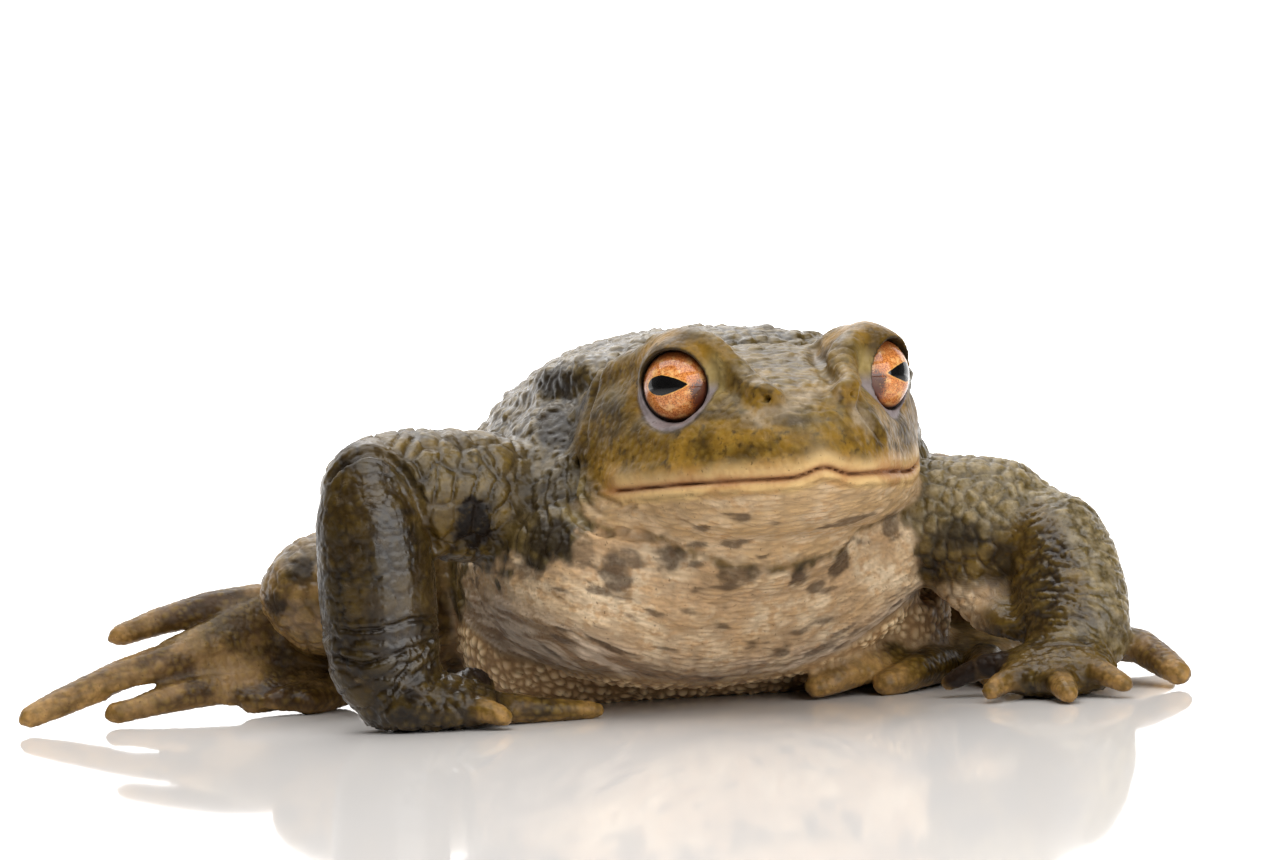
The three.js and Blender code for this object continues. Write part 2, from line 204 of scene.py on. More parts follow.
def distance_block(names, cell, reach, low=None, shape=None):
    points, faces = weld(*node_surface(names))
    grid = openvdb.FloatGrid.createLevelSetFromPolygons(
        points.astype(np.float32), triangles=faces.astype(np.uint32),
        transform=openvdb.createLinearTransform(voxelSize=cell), halfWidth=reach / cell)
    if low is None:
        low, high = grid.evalActiveVoxelBoundingBox()
        shape = [high[k] - low[k] + 1 for k in range(3)]
    field = np.empty(shape, np.float32)
    grid.copyToArray(field, ijk=tuple(int(v) for v in low))
    return field, np.array(low)


def blurred(field, sigma):
    reach = int(math.ceil(2.6 * sigma))
    weights = np.exp(-0.5 * (np.arange(-reach, reach + 1) / sigma) ** 2)
    weights = (weights / weights.sum()).astype(np.float32)
    for axis in range(3):
        margin = [(0, 0)] * 3
        margin[axis] = (reach, reach)
        wide = np.pad(field, margin, mode="edge")
        field = np.zeros_like(field)
        for step, weight in enumerate(weights):
            part = [slice(None)] * 3
            part[axis] = slice(step, step + field.shape[axis])
            field += weight * wide[tuple(part)]
    return field


flesh_names = sorted(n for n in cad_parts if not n.startswith("eye"))
digit_names = [n for n in flesh_names if is_digit(n)]
sharp, block_low = distance_block(flesh_names, CELL, REACH)
digits, _ = distance_block(digit_names, CELL, REACH, block_low, sharp.shape)
body = blurred(sharp, BODY_SOFTNESS / CELL)
fine = blurred(sharp, DIGIT_SOFTNESS / CELL)
near_digit = np.clip((DIGIT_MARGIN - digits) / DIGIT_MARGIN, 0.0, 1.0)
clay = body + (fine - DIGIT_PLUMPING - body) * near_digit
del body, fine, near_digit


def patch(low, high):
    """A view of the clay between two corners, and the places of its cells."""
    first = np.clip(np.floor(np.array(low) / CELL).astype(int) - block_low, 0, clay.shape)
    last = np.clip(np.ceil(np.array(high) / CELL).astype(int) - block_low + 1, 0, clay.shape)
    axes = [(np.arange(first[k], last[k]) + block_low[k]) * CELL for k in range(3)]
    x, y, z = np.meshgrid(*axes, indexing="ij")
    view = clay[first[0]:last[0], first[1]:last[1], first[2]:last[2]]
    return view, np.stack((x, y, z), axis=-1).astype(np.float32)


def add(view, form, soft):
    mix = np.clip(0.5 + 0.5 * (view - form) / soft, 0.0, 1.0)
    view[...] = view + (form - view) * mix - soft * mix * (1.0 - mix)


def cut(view, form, soft):
    mix = np.clip(0.5 - 0.5 * (view + form) / soft, 0.0, 1.0)
    view[...] = view + (-form - view) * mix + soft * mix * (1.0 - mix)


def smooth_line(points, steps=6):
    """A Catmull-Rom line through rows of numbers, end to end."""
    rows = np.array(points, float)
    rows = np.vstack((2 * rows[0] - rows[1], rows, 2 * rows[-1] - rows[-2]))
    line = []
    for k in range(1, len(rows) - 2):
        a, b, c, d = rows[k - 1:k + 3]
        for t in np.arange(steps) / steps:
            line.append(0.5 * (2 * b + (c - a) * t + (2 * a - 5 * b + 4 * c - d) * t ** 2
                               + (3 * b - a - 3 * c + d) * t ** 3))
    line.append(rows[-2])
    return np.array(line)


def tube(spots, line):
    """Distance to a tube whose line has rows of x, y, z and radius."""
    nearest = np.full(spots.shape[:-1], 1e9, np.float32)
    for a, b in zip(line[:-1], line[1:]):
        run = b[:3] - a[:3]
        t = np.clip(((spots - a[:3]) @ run) / max(run @ run, 1e-9), 0.0, 1.0)
        gap = np.linalg.norm(spots - a[:3] - t[..., None] * run, axis=-1)
        nearest = np.minimum(nearest, gap - (a[3] + (b[3] - a[3]) * t))
    return nearest


def lay_tube(points, soft, hollow=False):
    line = smooth_line(points)
    margin = line[:, 3].max() + soft + 1.0
    view, spots = patch(line[:, :3].min(0) - margin, line[:, :3].max(0) + margin)
    (cut if hollow else add)(view, tube(spots, line), soft)


# The head is shaped from the eyes outwards. Places on it are given as steps to the
# toad's left, ahead and up from the point between its eyes.
eye_low, eye_high = {}, {}
for side in ("right", "left"):
    eye_low[side], eye_high[side] = (np.array(corner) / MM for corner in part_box("eye_" + side))
eye_centre = {side: (eye_low[side] + eye_high[side]) / 2 for side in ("right", "left")}
EYE_RADIUS = float((eye_high["right"] - eye_low["right"])[2] / 2)
head_middle = (eye_centre["right"] + eye_centre["left"]) / 2
across_head = eye_centre["left"] - eye_centre["right"]
head_left = across_head / np.linalg.norm(across_head)
head_ahead = np.array((head_left[1], -head_left[0], 0.0))
head_up = np.array((0.0, 0.0, 1.0))
EYE_TURN = math.radians(36.0)
EYE_LIFT = math.radians(3.0)


def on_head(left, ahead, rise):
    return head_middle + left * head_left + ahead * head_ahead + rise * head_up


def head_steps(spots):
    gap = spots - head_middle
    return gap @ head_left, gap @ head_ahead, gap @ head_up


def eye_axes(side):
    """Unit steps out of the eye, towards the nose and up."""
    way = 1.0 if side == "left" else -1.0
    flat = math.sin(EYE_TURN) * way * head_left + math.cos(EYE_TURN) * head_ahead
    out = math.cos(EYE_LIFT) * flat + math.sin(EYE_LIFT) * head_up
    nose = np.cross(out, head_up) * (1.0 if side == "left" else -1.0)
    nose = nose / np.linalg.norm(nose)
    if nose @ head_ahead < 0:
        nose = -nose
    rise = np.cross(nose, out)
    if rise[2] < 0:
        rise = -rise
    return out, nose, rise


LID_OPENING = 2.82
BROW = [(4.3, 4.4, 0.5, 0.8), (5.6, 3.0, 2.4, 1.15), (7.0, 0.8, 3.4, 1.2), (8.6, -2.0, 2.9, 1.1),
        (9.8, -4.6, 1.5, 1.0)]
SNOUT_RIDGE = [(4.4, 4.2, 0.8, 0.9), (3.9, 6.2, -0.2, 0.95), (3.2, 8.0, -1.2, 0.9)]
NOSTRIL = [(4.7, 8.1, -1.0, 0.2), (4.2, 8.6, -1.1, 0.3), (3.6, 8.7, -1.2, 0.3), (3.0, 8.2, -1.45, 0.2)]
NOSTRIL_RIM = [(4.0, 7.5, -0.5, 0.5), (3.3, 8.2, -0.55, 0.5), (2.6, 8.3, -1.0, 0.4)]
TEMPLE = [(8.8, -3.2, 2.3, 1.3), (10.2, -5.8, 1.5, 1.5), (11.3, -8.2, 0.2, 1.6), (12.0, -10.5, -1.6, 1.5)]
CHEEK = [(9.4, -3.6, -1.4, 2.1), (11.0, -6.3, -2.8, 2.2), (12.0, -8.3, -4.2, 1.9)]


LEFT_BROW = [(3.6, 4.0, 0.4, 0.8), (4.8, 3.0, 1.8, 1.3), (6.2, 1.6, 2.5, 1.3), (7.6, 0.0, 2.9, 1.2),
             (9.2, -2.6, 2.5, 1.1), (10.2, -4.6, 1.4, 1.0)]


def head_line(way, rows):
    return [(*on_head(way * a, b, c), r) for a, b, c, r in rows]


for side, way in (("right", -1.0), ("left", 1.0)):
    centre = eye_centre[side]
    out, nose, rise = eye_axes(side)
    lay_tube(head_line(way, TEMPLE), 1.6)
    lay_tube(head_line(way, CHEEK), 2.0)
    lay_tube(head_line(way, BROW if side == "right" else LEFT_BROW), 0.9)
    lay_tube(head_line(way, SNOUT_RIDGE), 1.2)
    view, spots = patch(centre - 8.0, centre + 8.0)
    gap = spots - centre
    distance = np.linalg.norm(gap, axis=-1)
    along, inward, height = gap @ out, gap @ nose, gap @ rise
    ring = np.hypot(inward, height + 0.08)
    # The lids are thick above, thinner at the nose and below, and thin at the outer end.
    toward = np.stack((inward, height), axis=-1) / np.maximum(ring, 0.1)[..., None]
    lids = 0.42 + 0.42 * np.maximum(toward[..., 1], 0) + 0.12 * toward[..., 0]
    add(view, distance - (EYE_RADIUS + lids), 0.45)
    opening = np.maximum(ring - LID_OPENING - 0.12 * np.maximum(-toward[..., 0], 0), 0.6 - along)
    cut(view, opening, 0.22)
    cut(view, distance - (EYE_RADIUS + 0.02), 0.05)
    lay_tube(head_line(way, NOSTRIL_RIM), 0.5)
    lay_tube(head_line(way, NOSTRIL), 0.2, hollow=True)

# The mouth runs round the muzzle as a rolled pair of lips with a fine slit between.
MOUTH_CORNER_AHEAD = -1.6
MOUTH_BASE = -8.15
MOUTH_RISE = 0.75
MOUTH_NOTCH = 0.7
MOUTH_NOTCH_WIDTH = 1.5
SLIT_HALF_HEIGHT = 0.02
SLIT_DEPTH = 0.36


def mouth_line(left, ahead):
    """The height of the slit between the lips at a place on the head."""
    climb = np.clip((ahead + 8.0) / 18.5, 0.0, 1.0)
    notch = MOUTH_NOTCH * np.exp(-(left / MOUTH_NOTCH_WIDTH) ** 2) * np.clip(ahead / 8.0, 0.0, 1.0)
    hook = 0.9 * np.clip((left - 9.5) / 2.6, 0.0, 1.0) ** 2
    return MOUTH_BASE + MOUTH_RISE * climb * climb * (3 - 2 * climb) + notch + hook


COARSE_CELL = 0.5
COARSE_REACH = 4.0


def gap_from(names):
    """A function that gives the distance in millimetres from any places to some solids."""
    field, low = distance_block(names, COARSE_CELL, COARSE_REACH)
    top = np.array(field.shape) - 2

    def gap(spots):
        at = np.clip(spots / COARSE_CELL - low, 0.0, top + 0.999)
        first = np.floor(at).astype(np.int32)
        share = (at - first).astype(np.float32)
        total = 0.0
        for corner in range(8):
            step = np.array((corner & 1, corner >> 1 & 1, corner >> 2 & 1))
            weight = np.prod(np.where(step, share, 1 - share), axis=-1)
            index = first + step
            total = total + weight * field[index[..., 0], index[..., 1], index[..., 2]]
        return total

    return gap


head_gap = gap_from(["head", "lower_jaw"])
view, spots = patch(on_head(0, 2, -7) - 17.0, on_head(0, 2, -7) + 17.0)
left, ahead, height = head_steps(spots)
above_slit = height - mouth_line(left, ahead)
near_lip = np.clip(1.0 - head_gap(spots) / 1.2, 0.0, 1.0)
near_lip = near_lip * np.clip((ahead - MOUTH_CORNER_AHEAD + 2.0) / 2.0, 0.0, 1.0)
near_lip = near_lip * np.clip(1.25 - left / 12.0, 0.3, 1.0)
cushion = np.exp(-((left + 11.5) / 2.6) ** 2) * np.clip(1.0 - ahead / 6.0, 0.0, 1.0)
view -= near_lip * ((0.26 + 0.5 * cushion) * np.exp(-((above_slit - 1.0) / 0.8) ** 2)
                    + 0.42 * np.exp(-((above_slit + 0.8) / 0.6) ** 2))
slit = np.abs(above_slit) - SLIT_HALF_HEIGHT - 0.15 * np.clip(1.0 + view / SLIT_DEPTH, 0.0, 1.0)
slit = np.maximum(slit, -(view + SLIT_DEPTH))
slit = np.maximum(slit, (MOUTH_CORNER_AHEAD - ahead) * 0.5)
slit = np.maximum(slit, head_gap(spots) - 0.5)
cut(view, slit, 0.16)
del view, spots, left, ahead, height, above_slit, near_lip, slit

# The throat's skin fills the step between the jaw and the chest, and a deep fold
# wraps the jaw's corner.
THROAT_FILL = [(-5.0, -20.2, 13.0, 2.0), (-1.5, -20.4, 12.8, 2.6), (2.0, -20.0, 13.0, 2.6), (5.5, -19.0, 13.6, 2.0)]
JAW_CORNER = [(-12.0, -16.8, 19.4, 0.8), (-12.3, -18.4, 17.9, 1.0), (-11.2, -20.0, 17.0, 1.1), (-8.6, -21.6, 16.8, 0.9)]
JAW_FOLD = [(-13.0, -15.6, 20.6, 0.25), (-13.8, -17.0, 18.6, 0.3), (-14.0, -18.3, 17.3, 0.35),
            (-13.6, -19.4, 16.2, 0.4), (-12.6, -20.6, 15.4, 0.4), (-11.0, -21.2, 15.0, 0.3), (-8.8, -21.4, 14.6, 0.1)]
lay_tube(THROAT_FILL, 2.6)
lay_tube(JAW_CORNER, 1.0)
lay_tube(JAW_FOLD, 0.4, hollow=True)

# The chest's skin hangs as a bag, with a hollow under its lower edge.
BAG_EDGE = [(-21.7, 2.0, 10.5), (-20.9, -3.4, 7.2), (-18.6, -7.1, 4.9), (-16.0, -11.3, 4.0), (-9.1, -15.6, 2.9),
            (-3.6, -15.7, 2.0), (3.5, -15.0, 2.5), (8.7, -14.4, 4.0), (13.2, -13.0, 6.6), (16.2, -10.3, 8.0),
            (18.0, -4.0, 9.0)]
lay_tube([(px, py, pz - 0.9, 0.5) for px, py, pz in BAG_EDGE], 1.6, hollow=True)

# The nape stands almost as high as the brows.
NAPE = [(-2.0, -4.0, 26.6, 3.0), (3.0, -5.0, 27.2, 3.2), (8.0, -6.0, 26.6, 3.2), (11.5, -6.0, 25.4, 3.0)]
lay_tube(NAPE, 2.6)

# The folded right elbow: the forearm's rounded top stands in front of the upper arm.
ELBOW_FOLD = [(-32.9, -15.2, 20.6, 0.05), (-31.4, -15.6, 22.0, 0.2), (-29.5, -15.5, 22.6, 0.3), (-28.0, -15.8, 21.8, 0.35),
              (-26.8, -16.0, 20.2, 0.4), (-26.1, -16.2, 18.4, 0.45), (-25.3, -16.2, 16.2, 0.5), (-24.6, -14.6, 14.2, 0.5)]
lay_tube(ELBOW_FOLD, 0.6, hollow=True)
RIGHT_THUMB_PAD = [(-23.6, -13.2, 3.3, 0.8), (-22.2, -12.8, 3.6, 1.0), (-21.0, -11.8, 3.0, 0.7)]
lay_tube(RIGHT_THUMB_PAD, 0.7)
LEFT_ELBOW_FLAP = [(18.6, -13.6, 8.8, 1.7), (20.2, -15.2, 6.6, 1.8), (21.5, -17.6, 5.2, 1.0)]
lay_tube(LEFT_ELBOW_FLAP, 1.6)
WEBS = [
    [(-40.0, 11.2, 7.2, 1.0), (-43.6, 10.4, 6.6, 0.7), (-45.4, 10.2, 6.4, 0.3)],
    [(-38.0, 11.0, 4.4, 1.0), (-42.0, 9.8, 4.0, 0.8), (-45.6, 8.8, 3.4, 0.3)],
    [(-33.0, 10.4, 2.4, 0.9), (-38.0, 8.8, 2.0, 0.8), (-40.5, 8.0, 1.6, 0.5)],
    [(-32.0, 9.4, 1.7, 1.1), (-35.5, 7.0, 1.4, 1.1), (-37.0, 6.4, 1.3, 0.7)],
    [(14.0, -8.0, 1.6, 0.8), (12.0, -11.0, 1.4, 0.5)],
]
for web in WEBS:
    lay_tube(web, 0.9)
TOE_NOTCH = [(-50.6, 7.2, 2.3, 0.3), (-48.8, 7.8, 2.7, 0.45), (-46.8, 8.4, 3.15, 0.3)]
for step in (-1.6, -0.8, 0.0, 0.8, 1.6):
    lay_tube([(px, py + step, pz, size) for px, py, pz, size in TOE_NOTCH], 0.25, hollow=True)

# The skin is one mesh drawn over the clay.
clay_grid = openvdb.FloatGrid(REACH)
clay_grid.transform = openvdb.createLinearTransform(voxelSize=CELL)
clay_grid.copyFromArray(np.clip(clay, -REACH, REACH), ijk=tuple(int(v) for v in block_low))
points, triangles, quads = clay_grid.convertToPolygons(isovalue=0.0, adaptivity=0.0)
points = np.array(points, dtype=np.float32)
faces = np.array(quads, dtype=np.int64)
del clay, clay_grid


def smooth_normals(spots):
    a, b, c, d = (spots[faces[:, k]] for k in range(4))
    facing = np.cross(c - a, d - b)
    total = np.zeros_like(spots)
    for k in range(4):
        for axis in range(3):
            total[:, axis] += np.bincount(faces[:, k], weights=facing[:, axis], minlength=len(spots))
    return total / np.maximum(np.linalg.norm(total, axis=1, keepdims=True), 1e-12)


normals = smooth_normals(points)
COUNT = len(points)
left, ahead, height = head_steps(points)
x, y, z = points.T
lift = np.zeros(COUNT, np.float32)
crease_shade = np.zeros(COUNT, np.float32)
wart_top_and_highlight = np.zeros(COUNT, np.float32)


def ramp(value, low, high):
    """0 below low, 1 above high, with a smooth climb between; low may be the greater."""
    share = np.clip((value - low) / (high - low), 0.0, 1.0)
    return share * share * (3.0 - 2.0 * share)


def scatter(cells, seed, count=3):
    """Some even random numbers for each whole-number cell."""
    cells = cells.astype(np.int32).view(np.uint32)
    mixed = cells[..., 0] * np.uint32(73856093) ^ cells[..., 1] * np.uint32(19349663)
    mixed = mixed ^ cells[..., 2] * np.uint32(83492791) ^ np.uint32(seed * 2654435761 & 0xFFFFFFFF)
    picks = []
    for turn in range(count):
        mixed = (mixed ^ (mixed >> np.uint32(15))) * np.uint32(0x2C1B3C6D)
        mixed = (mixed ^ (mixed >> np.uint32(12))) * np.uint32(0x297A2D39)
        mixed = mixed ^ (mixed >> np.uint32(15))
        picks.append((mixed & np.uint32(0xFFFFFF)).astype(np.float32) / np.float32(0xFFFFFF))
    return np.stack(picks, axis=-1)


def pebbles(places, seed):
    """Distances to the nearest and next nearest scattered seed, and the nearest one's number."""
    home = np.floor(places).astype(np.int32)
    nearest = np.full(len(places), 9.0, np.float32)
    second = nearest.copy()
    number = np.zeros(len(places), np.float32)
    for step in np.ndindex(3, 3, 3):
        cells = home + np.array(step, np.int32) - 1
        pick = scatter(cells, seed)
        away = np.linalg.norm(cells + 0.15 + 0.7 * pick - places, axis=-1).astype(np.float32)
        closer = away < nearest
        second = np.where(closer, nearest, np.minimum(second, away))
        number = np.where(closer, pick[:, 0], number)
        nearest = np.where(closer, away, nearest)
    return nearest, second, number


def noise(places, seed):
    home = np.floor(places).astype(np.int32)
    share = places - home
    share = share * share * (3.0 - 2.0 * share)
    total = np.zeros(len(places), np.float32)
    for step in np.ndindex(2, 2, 2):
        step = np.array(step, np.int32)
        weight = np.prod(np.where(step, share, 1.0 - share), axis=-1)
        total += weight * scatter(home + step, seed, 1)[:, 0]
    return total


def cloud(places, seed, octaves=3):
    total, size, scale = 0.0, 1.0, 0.0
    for octave in range(octaves):
        total = total + size * noise(places * 2.0 ** octave, seed + octave)
        scale += size
        size *= 0.5
    return total / scale


def follow(line, spots=None):
    """Distance from each place to a line, how far along the line, and the step from it."""
    spots = points if spots is None else spots
    line = smooth_line(line, 4)
    nearest = np.full(len(spots), 1e9, np.float32)
    along = np.zeros(len(spots), np.float32)
    off = np.zeros_like(spots)
    run_before = 0.0
    for a, b in zip(line[:-1], line[1:]):
        run = (b - a)[:3]
        length = np.linalg.norm(run)
        share = np.clip(((spots - a[:3]) @ run) / length ** 2, 0.0, 1.0)
        step = spots - a[:3] - share[:, None] * run
        away = np.linalg.norm(step, axis=1)
        closer = away < nearest
        nearest = np.where(closer, away, nearest)
        along = np.where(closer, run_before + share * length, along)
        off = np.where(closer[:, None], step, off)
        run_before += length
    return nearest, along, off


def groove(line, width, depth, colour=1.0, rim=0.0):
    """A soft furrow along a line, with raised rims. The line is first drawn on to the skin. Its colour sets how much
    painted shade darkens the furrow.
    """
    line = np.array(line, float)
    pick = np.all((points > line.min(0) - 2.5) & (points < line.max(0) + 2.5), axis=1)
    line = smooth_line(line, 4)
    line = np.array([points[pick][np.argmin(((points[pick] - place) ** 2).sum(1))] for place in line])
    away, _, _ = follow(line, points[pick])
    dip = np.exp(-(away / width) ** 2)
    lift[pick] -= depth * dip
    if rim:
        lift[pick] += rim * np.exp(-((away - 2.0 * width) / width) ** 2)
    crease_shade[pick] = np.maximum(crease_shade[pick], colour * dip)


def mound(place, radii, rise, turn=None):
    """A soft swelling on the skin round a place."""
    gap = (points - np.array(place)) / np.array(radii)
    lift[...] += rise * np.exp(-(gap * gap).sum(1))


def cobbles(where, places, depth, seed, soft=0.4, dome=0.0, mark=1.0):
    """Packed pebbles with creases between, where a weight says so. The creases get painted shade, as strong as mark
    says.
    """
    pick = where > 0.02
    near, second, _ = pebbles(places[pick], seed)
    flat = ramp(second - near, 0.0, soft)
    share = where[pick]
    lift[pick] += share * (depth * (flat - 1.0) + dome * (1.0 - near))
    crease_shade[pick] = np.maximum(crease_shade[pick], mark * share * (1.0 - flat))
    wart_top_and_highlight[pick] = np.maximum(wart_top_and_highlight[pick], share * np.clip(1.1 - 1.6 * near, 0.0, 1.0) * flat)


def warts(where, places, rise, seed, least=0.22, most=0.5, mark=1.0):
    """Round warts of mixed sizes, scattered where a weight says so."""
    pick = where > 0.02
    near, _, number = pebbles(places[pick], seed)
    dome = np.clip(1.0 - (near / (least + (most - least) * number)) ** 2, 0.0, 1.0) ** 0.8
    lift[pick] += rise * (0.5 + number) * where[pick] * dome
    wart_top_and_highlight[pick] = np.maximum(wart_top_and_highlight[pick], mark * where[pick] * dome)


# Each part of the body has a weight on the skin, which fades into its neighbours'.
PARTS = {
    "head": ["head", "lower_jaw"],
    "trunk": ["chest", "belly", "rump", "parotoid_right", "parotoid_left"],
    "upper_right": ["upper_arm_right"],
    "upper_left": ["upper_arm_left"],
    "fore_right": ["forearm_right"],
    "fore_left": ["forearm_left"],
    "hands": ["hand_right", "hand_left"],
    "legs": [n for n in flesh_names if n.startswith(("thigh", "shank", "ankle"))],
    "feet": ["foot_right", "foot_left"],
    "digits": digit_names,
}
PART_BLEND = 0.7
gaps = {part: gap_from(names)(points) for part, names in PARTS.items()}
for way in (-1.0, 1.0):
    for form in (TEMPLE, CHEEK):
        gaps["head"] = np.minimum(gaps["head"], tube(points, smooth_line(head_line(way, form))) - 0.2)
closest = np.minimum.reduce(list(gaps.values()))
parts = {part: np.exp(-np.clip(gap - closest, 0, 9) / PART_BLEND) for part, gap in gaps.items()}
for turn, part in enumerate(parts):
    parts[part] = parts[part] * (0.45 + 1.1 * cloud(points / 0.9, 90 + turn, 2))
share = sum(parts.values())
parts = {part: ramp(weight / share, 0.08, 0.92) for part, weight in parts.items()}
glands = np.exp(-np.clip(gap_from(["parotoid_right", "parotoid_left"])(points), 0, 9) / 1.0)
off_eyes = np.minimum(*(np.linalg.norm(points - eye_centre[side], axis=1) for side in eye_centre))
bare = ramp(off_eyes, EYE_RADIUS + 0.7, EYE_RADIUS + 2.0)
above_slit = height - mouth_line(left, ahead)
at_mouth = parts["head"] * ramp(ahead, MOUTH_CORNER_AHEAD - 2.6, MOUTH_CORNER_AHEAD + 1.6)

# Where the pale underside begins: across the chest it rises from each armpit to the jaw.
PALE_EDGE = [(-40, 7.0), (-24, 9.0), (-21, 11.9), (-19, 12.6), (-16.5, 12.8), (-14.6, 13.6), (-13.0, 14.8), (-11.6, 16.4), (-8, 21.0),
             (8, 21.0), (11.8, 18.0), (14.0, 13.4), (17.0, 10.4), (20.0, 9.0), (40, 7.0)]
drift = cloud(points / 2.2, 11) - 0.5
edge = np.interp(x, *zip(*PALE_EDGE))
pale = parts["trunk"] * ramp(z - edge - 5 * drift, 2.0, -1.6) * ramp(y, 6.0, -4.0)
pale = np.maximum(pale, parts["head"] * ramp(above_slit, -0.5, -1.3))
jaw_corner = ramp(tube(points, smooth_line(JAW_CORNER)), 1.5, 0.1) * ramp(above_slit + 2.0 * drift, 0.8, -1.4)
pale = np.maximum(pale, jaw_corner)
pale = ramp(pale + 0.9 * (cloud(points / 1.1, 12) - 0.5), 0.2, 0.8)
chest_edge = np.interp(x, [spot[0] for spot in BAG_EDGE], [spot[2] for spot in BAG_EDGE])
under = parts["trunk"] * ramp(z - chest_edge, 0.3, -0.5) * ramp(z, 11.0, 9.0)
under = np.maximum(under, parts["trunk"] * ramp(z, 7.0, 4.0) * ramp(y, -3.0, 1.0))
pale = pale * (1.0 - under)

# Arms, legs and their wrinkles are measured along lines through their bones.
RIGHT_UPPER = [(-13.5, -9.5, 16.5), (-20.5, -10.5, 18.2), (-26.5, -11.5, 18.9), (-33.4, -12.0, 20.4)]
RIGHT_FORE = [(-30.4, -13.0, 24.4), (-29.8, -14.2, 17.5), (-29.6, -13.9, 11.0), (-29.2, -13.7, 5.8),
              (-26.4, -13.9, 2.4), (-20.0, -15.0, 1.4), (-11.5, -15.2, 0.6)]
LEFT_UPPER = [(12.5, -9.0, 14.8), (17.5, -11.0, 14.4), (22.6, -12.8, 13.6), (27.4, -13.8, 12.4)]
LEFT_FORE = [(25.4, -13.2, 15.4), (26.2, -15.4, 12.4), (26.6, -17.4, 8.6), (26.2, -19.4, 4.9),
             (24.4, -22.6, 2.2), (22.0, -29.0, 1.0)]
RIGHT_FOOT = [(-24.6, 17.2, 5.0), (-35.4, 11.6, 5.2), (-46.0, 9.0, 4.6), (-58.4, 6.1, 0.8)]
LEFT_FOOT = [(20.8, 9.8, 2.2), (22.6, 0.5, 2.0), (18.0, -10.0, 1.8), (12.0, -15.0, 1.0)]


def limb_places(line, step_along, step_across):
    """Places measured along and across a limb, so that wrinkles run round it."""
    _, along, off = follow(line)
    along = along + 1.6 * (cloud(points / 3.0, 21) - 0.5) + 0.3 * (noise(points / 0.9, 22) - 0.5)
    return np.column_stack((along / step_along, off[:, 1] / step_across, (off[:, 0] + off[:, 2]) / step_across))


warp = np.column_stack([noise(points / 1.3, seed) - 0.5 for seed in (31, 32, 33)])
bent = points + 0.7 * warp
plain_head = parts["head"] * bare * ramp(above_slit, 0.6, 2.2)
top_of_head = plain_head * ramp(normals[:, 2], 0.25, 0.75)

# Back and neck: crowded round warts of mixed size. Shoulders: upright folds.
back = np.clip(parts["trunk"] * (1.0 - pale) * (1.0 - under), 0.0, 1.0)
high = np.clip(ramp(z, 18.0, 23.5) + ramp(y, -6.0, 2.0), 0.0, 1.0)
shoulders = np.clip(back + 0.4 * glands, 0.0, 1.0)
nape = shoulders * high
warts(nape, bent / 1.9, 0.26, 41, 0.3, 0.6)
warts(nape, bent / 0.95, 0.10, 42, 0.25, 0.5, 0.6)
cobbles(nape, bent / 1.15, 0.08, 43, 0.35)
front_fold = shoulders * (1.0 - high)
cobbles(front_fold, bent / (1.3, 1.3, 4.2), 0.16, 47, 0.3)
cobbles(front_fold, bent / 0.85, 0.03, 48, 0.35, mark=0.5)
# Crown and brows: small low bumps; cheeks almost smooth.
warts(top_of_head, bent / (1.7, 1.1, 1.1), 0.16, 44, 0.25, 0.55)
cobbles(top_of_head, bent / (1.3, 0.7, 0.7), 0.06, 45, 0.4, mark=0.5)
cobbles(plain_head * (1 - top_of_head), bent / 0.8, 0.028, 46, 0.35, mark=0.35)
# Upper arms: upright cobbled folds. Forearms: fine wrinkles that run round the limb.
cobbles(parts["upper_right"], limb_places(RIGHT_UPPER, 1.5, 3.0), 0.24, 51, 0.22, 0.06)
cobbles(parts["upper_right"], bent / 0.8, 0.04, 52, 0.3, mark=0.4)
cobbles(parts["upper_left"], limb_places(LEFT_UPPER, 1.15, 1.7), 0.18, 53, 0.3, 0.12)
cobbles(parts["upper_left"], bent / 0.7, 0.035, 54, 0.3, mark=0.4)
wrist_right = parts["fore_right"] * ramp(z, 10.5, 7.5)
arm_places = limb_places(RIGHT_FORE, 1.15, 4.0)
cobbles(np.clip(wrist_right + 0.8 * parts["hands"] * (x < 0), 0, 1), arm_places, 0.2, 55, 0.22, 0.06)
cobbles(parts["fore_right"] + parts["hands"] * (x < 0), bent / 0.85, 0.045, 56, 0.35, mark=0.5)
cobbles(parts["fore_right"] * (1 - wrist_right), bent / (1.7, 1.7, 2.2), 0.05, 57, 0.2, mark=0.5)
arm_places = limb_places(LEFT_FORE, 0.85, 3.2)
cobbles(np.clip(parts["fore_left"] + 0.7 * parts["hands"] * (x > 0), 0, 1), arm_places, 0.17, 58, 0.3, 0.05)
cobbles(parts["fore_left"] + parts["hands"] * (x > 0), bent / 0.6, 0.05, 59, 0.35, mark=0.5)
warts(parts["hands"] * ramp(y, -13.0, -14.0), bent / 1.1, 0.12, 60, 0.25, 0.5, 0.4)
# Legs and feet: low smooth cobbles; digits ringed.
cobbles(parts["legs"], bent / 1.6, 0.12, 61, 0.4, 0.06)
cobbles(parts["legs"] + parts["feet"], bent / 0.7, 0.045, 62, 0.35, mark=0.5)
cobbles(parts["digits"] + 0.5 * parts["feet"], bent / 0.75, 0.05, 63, 0.4, mark=0.5)
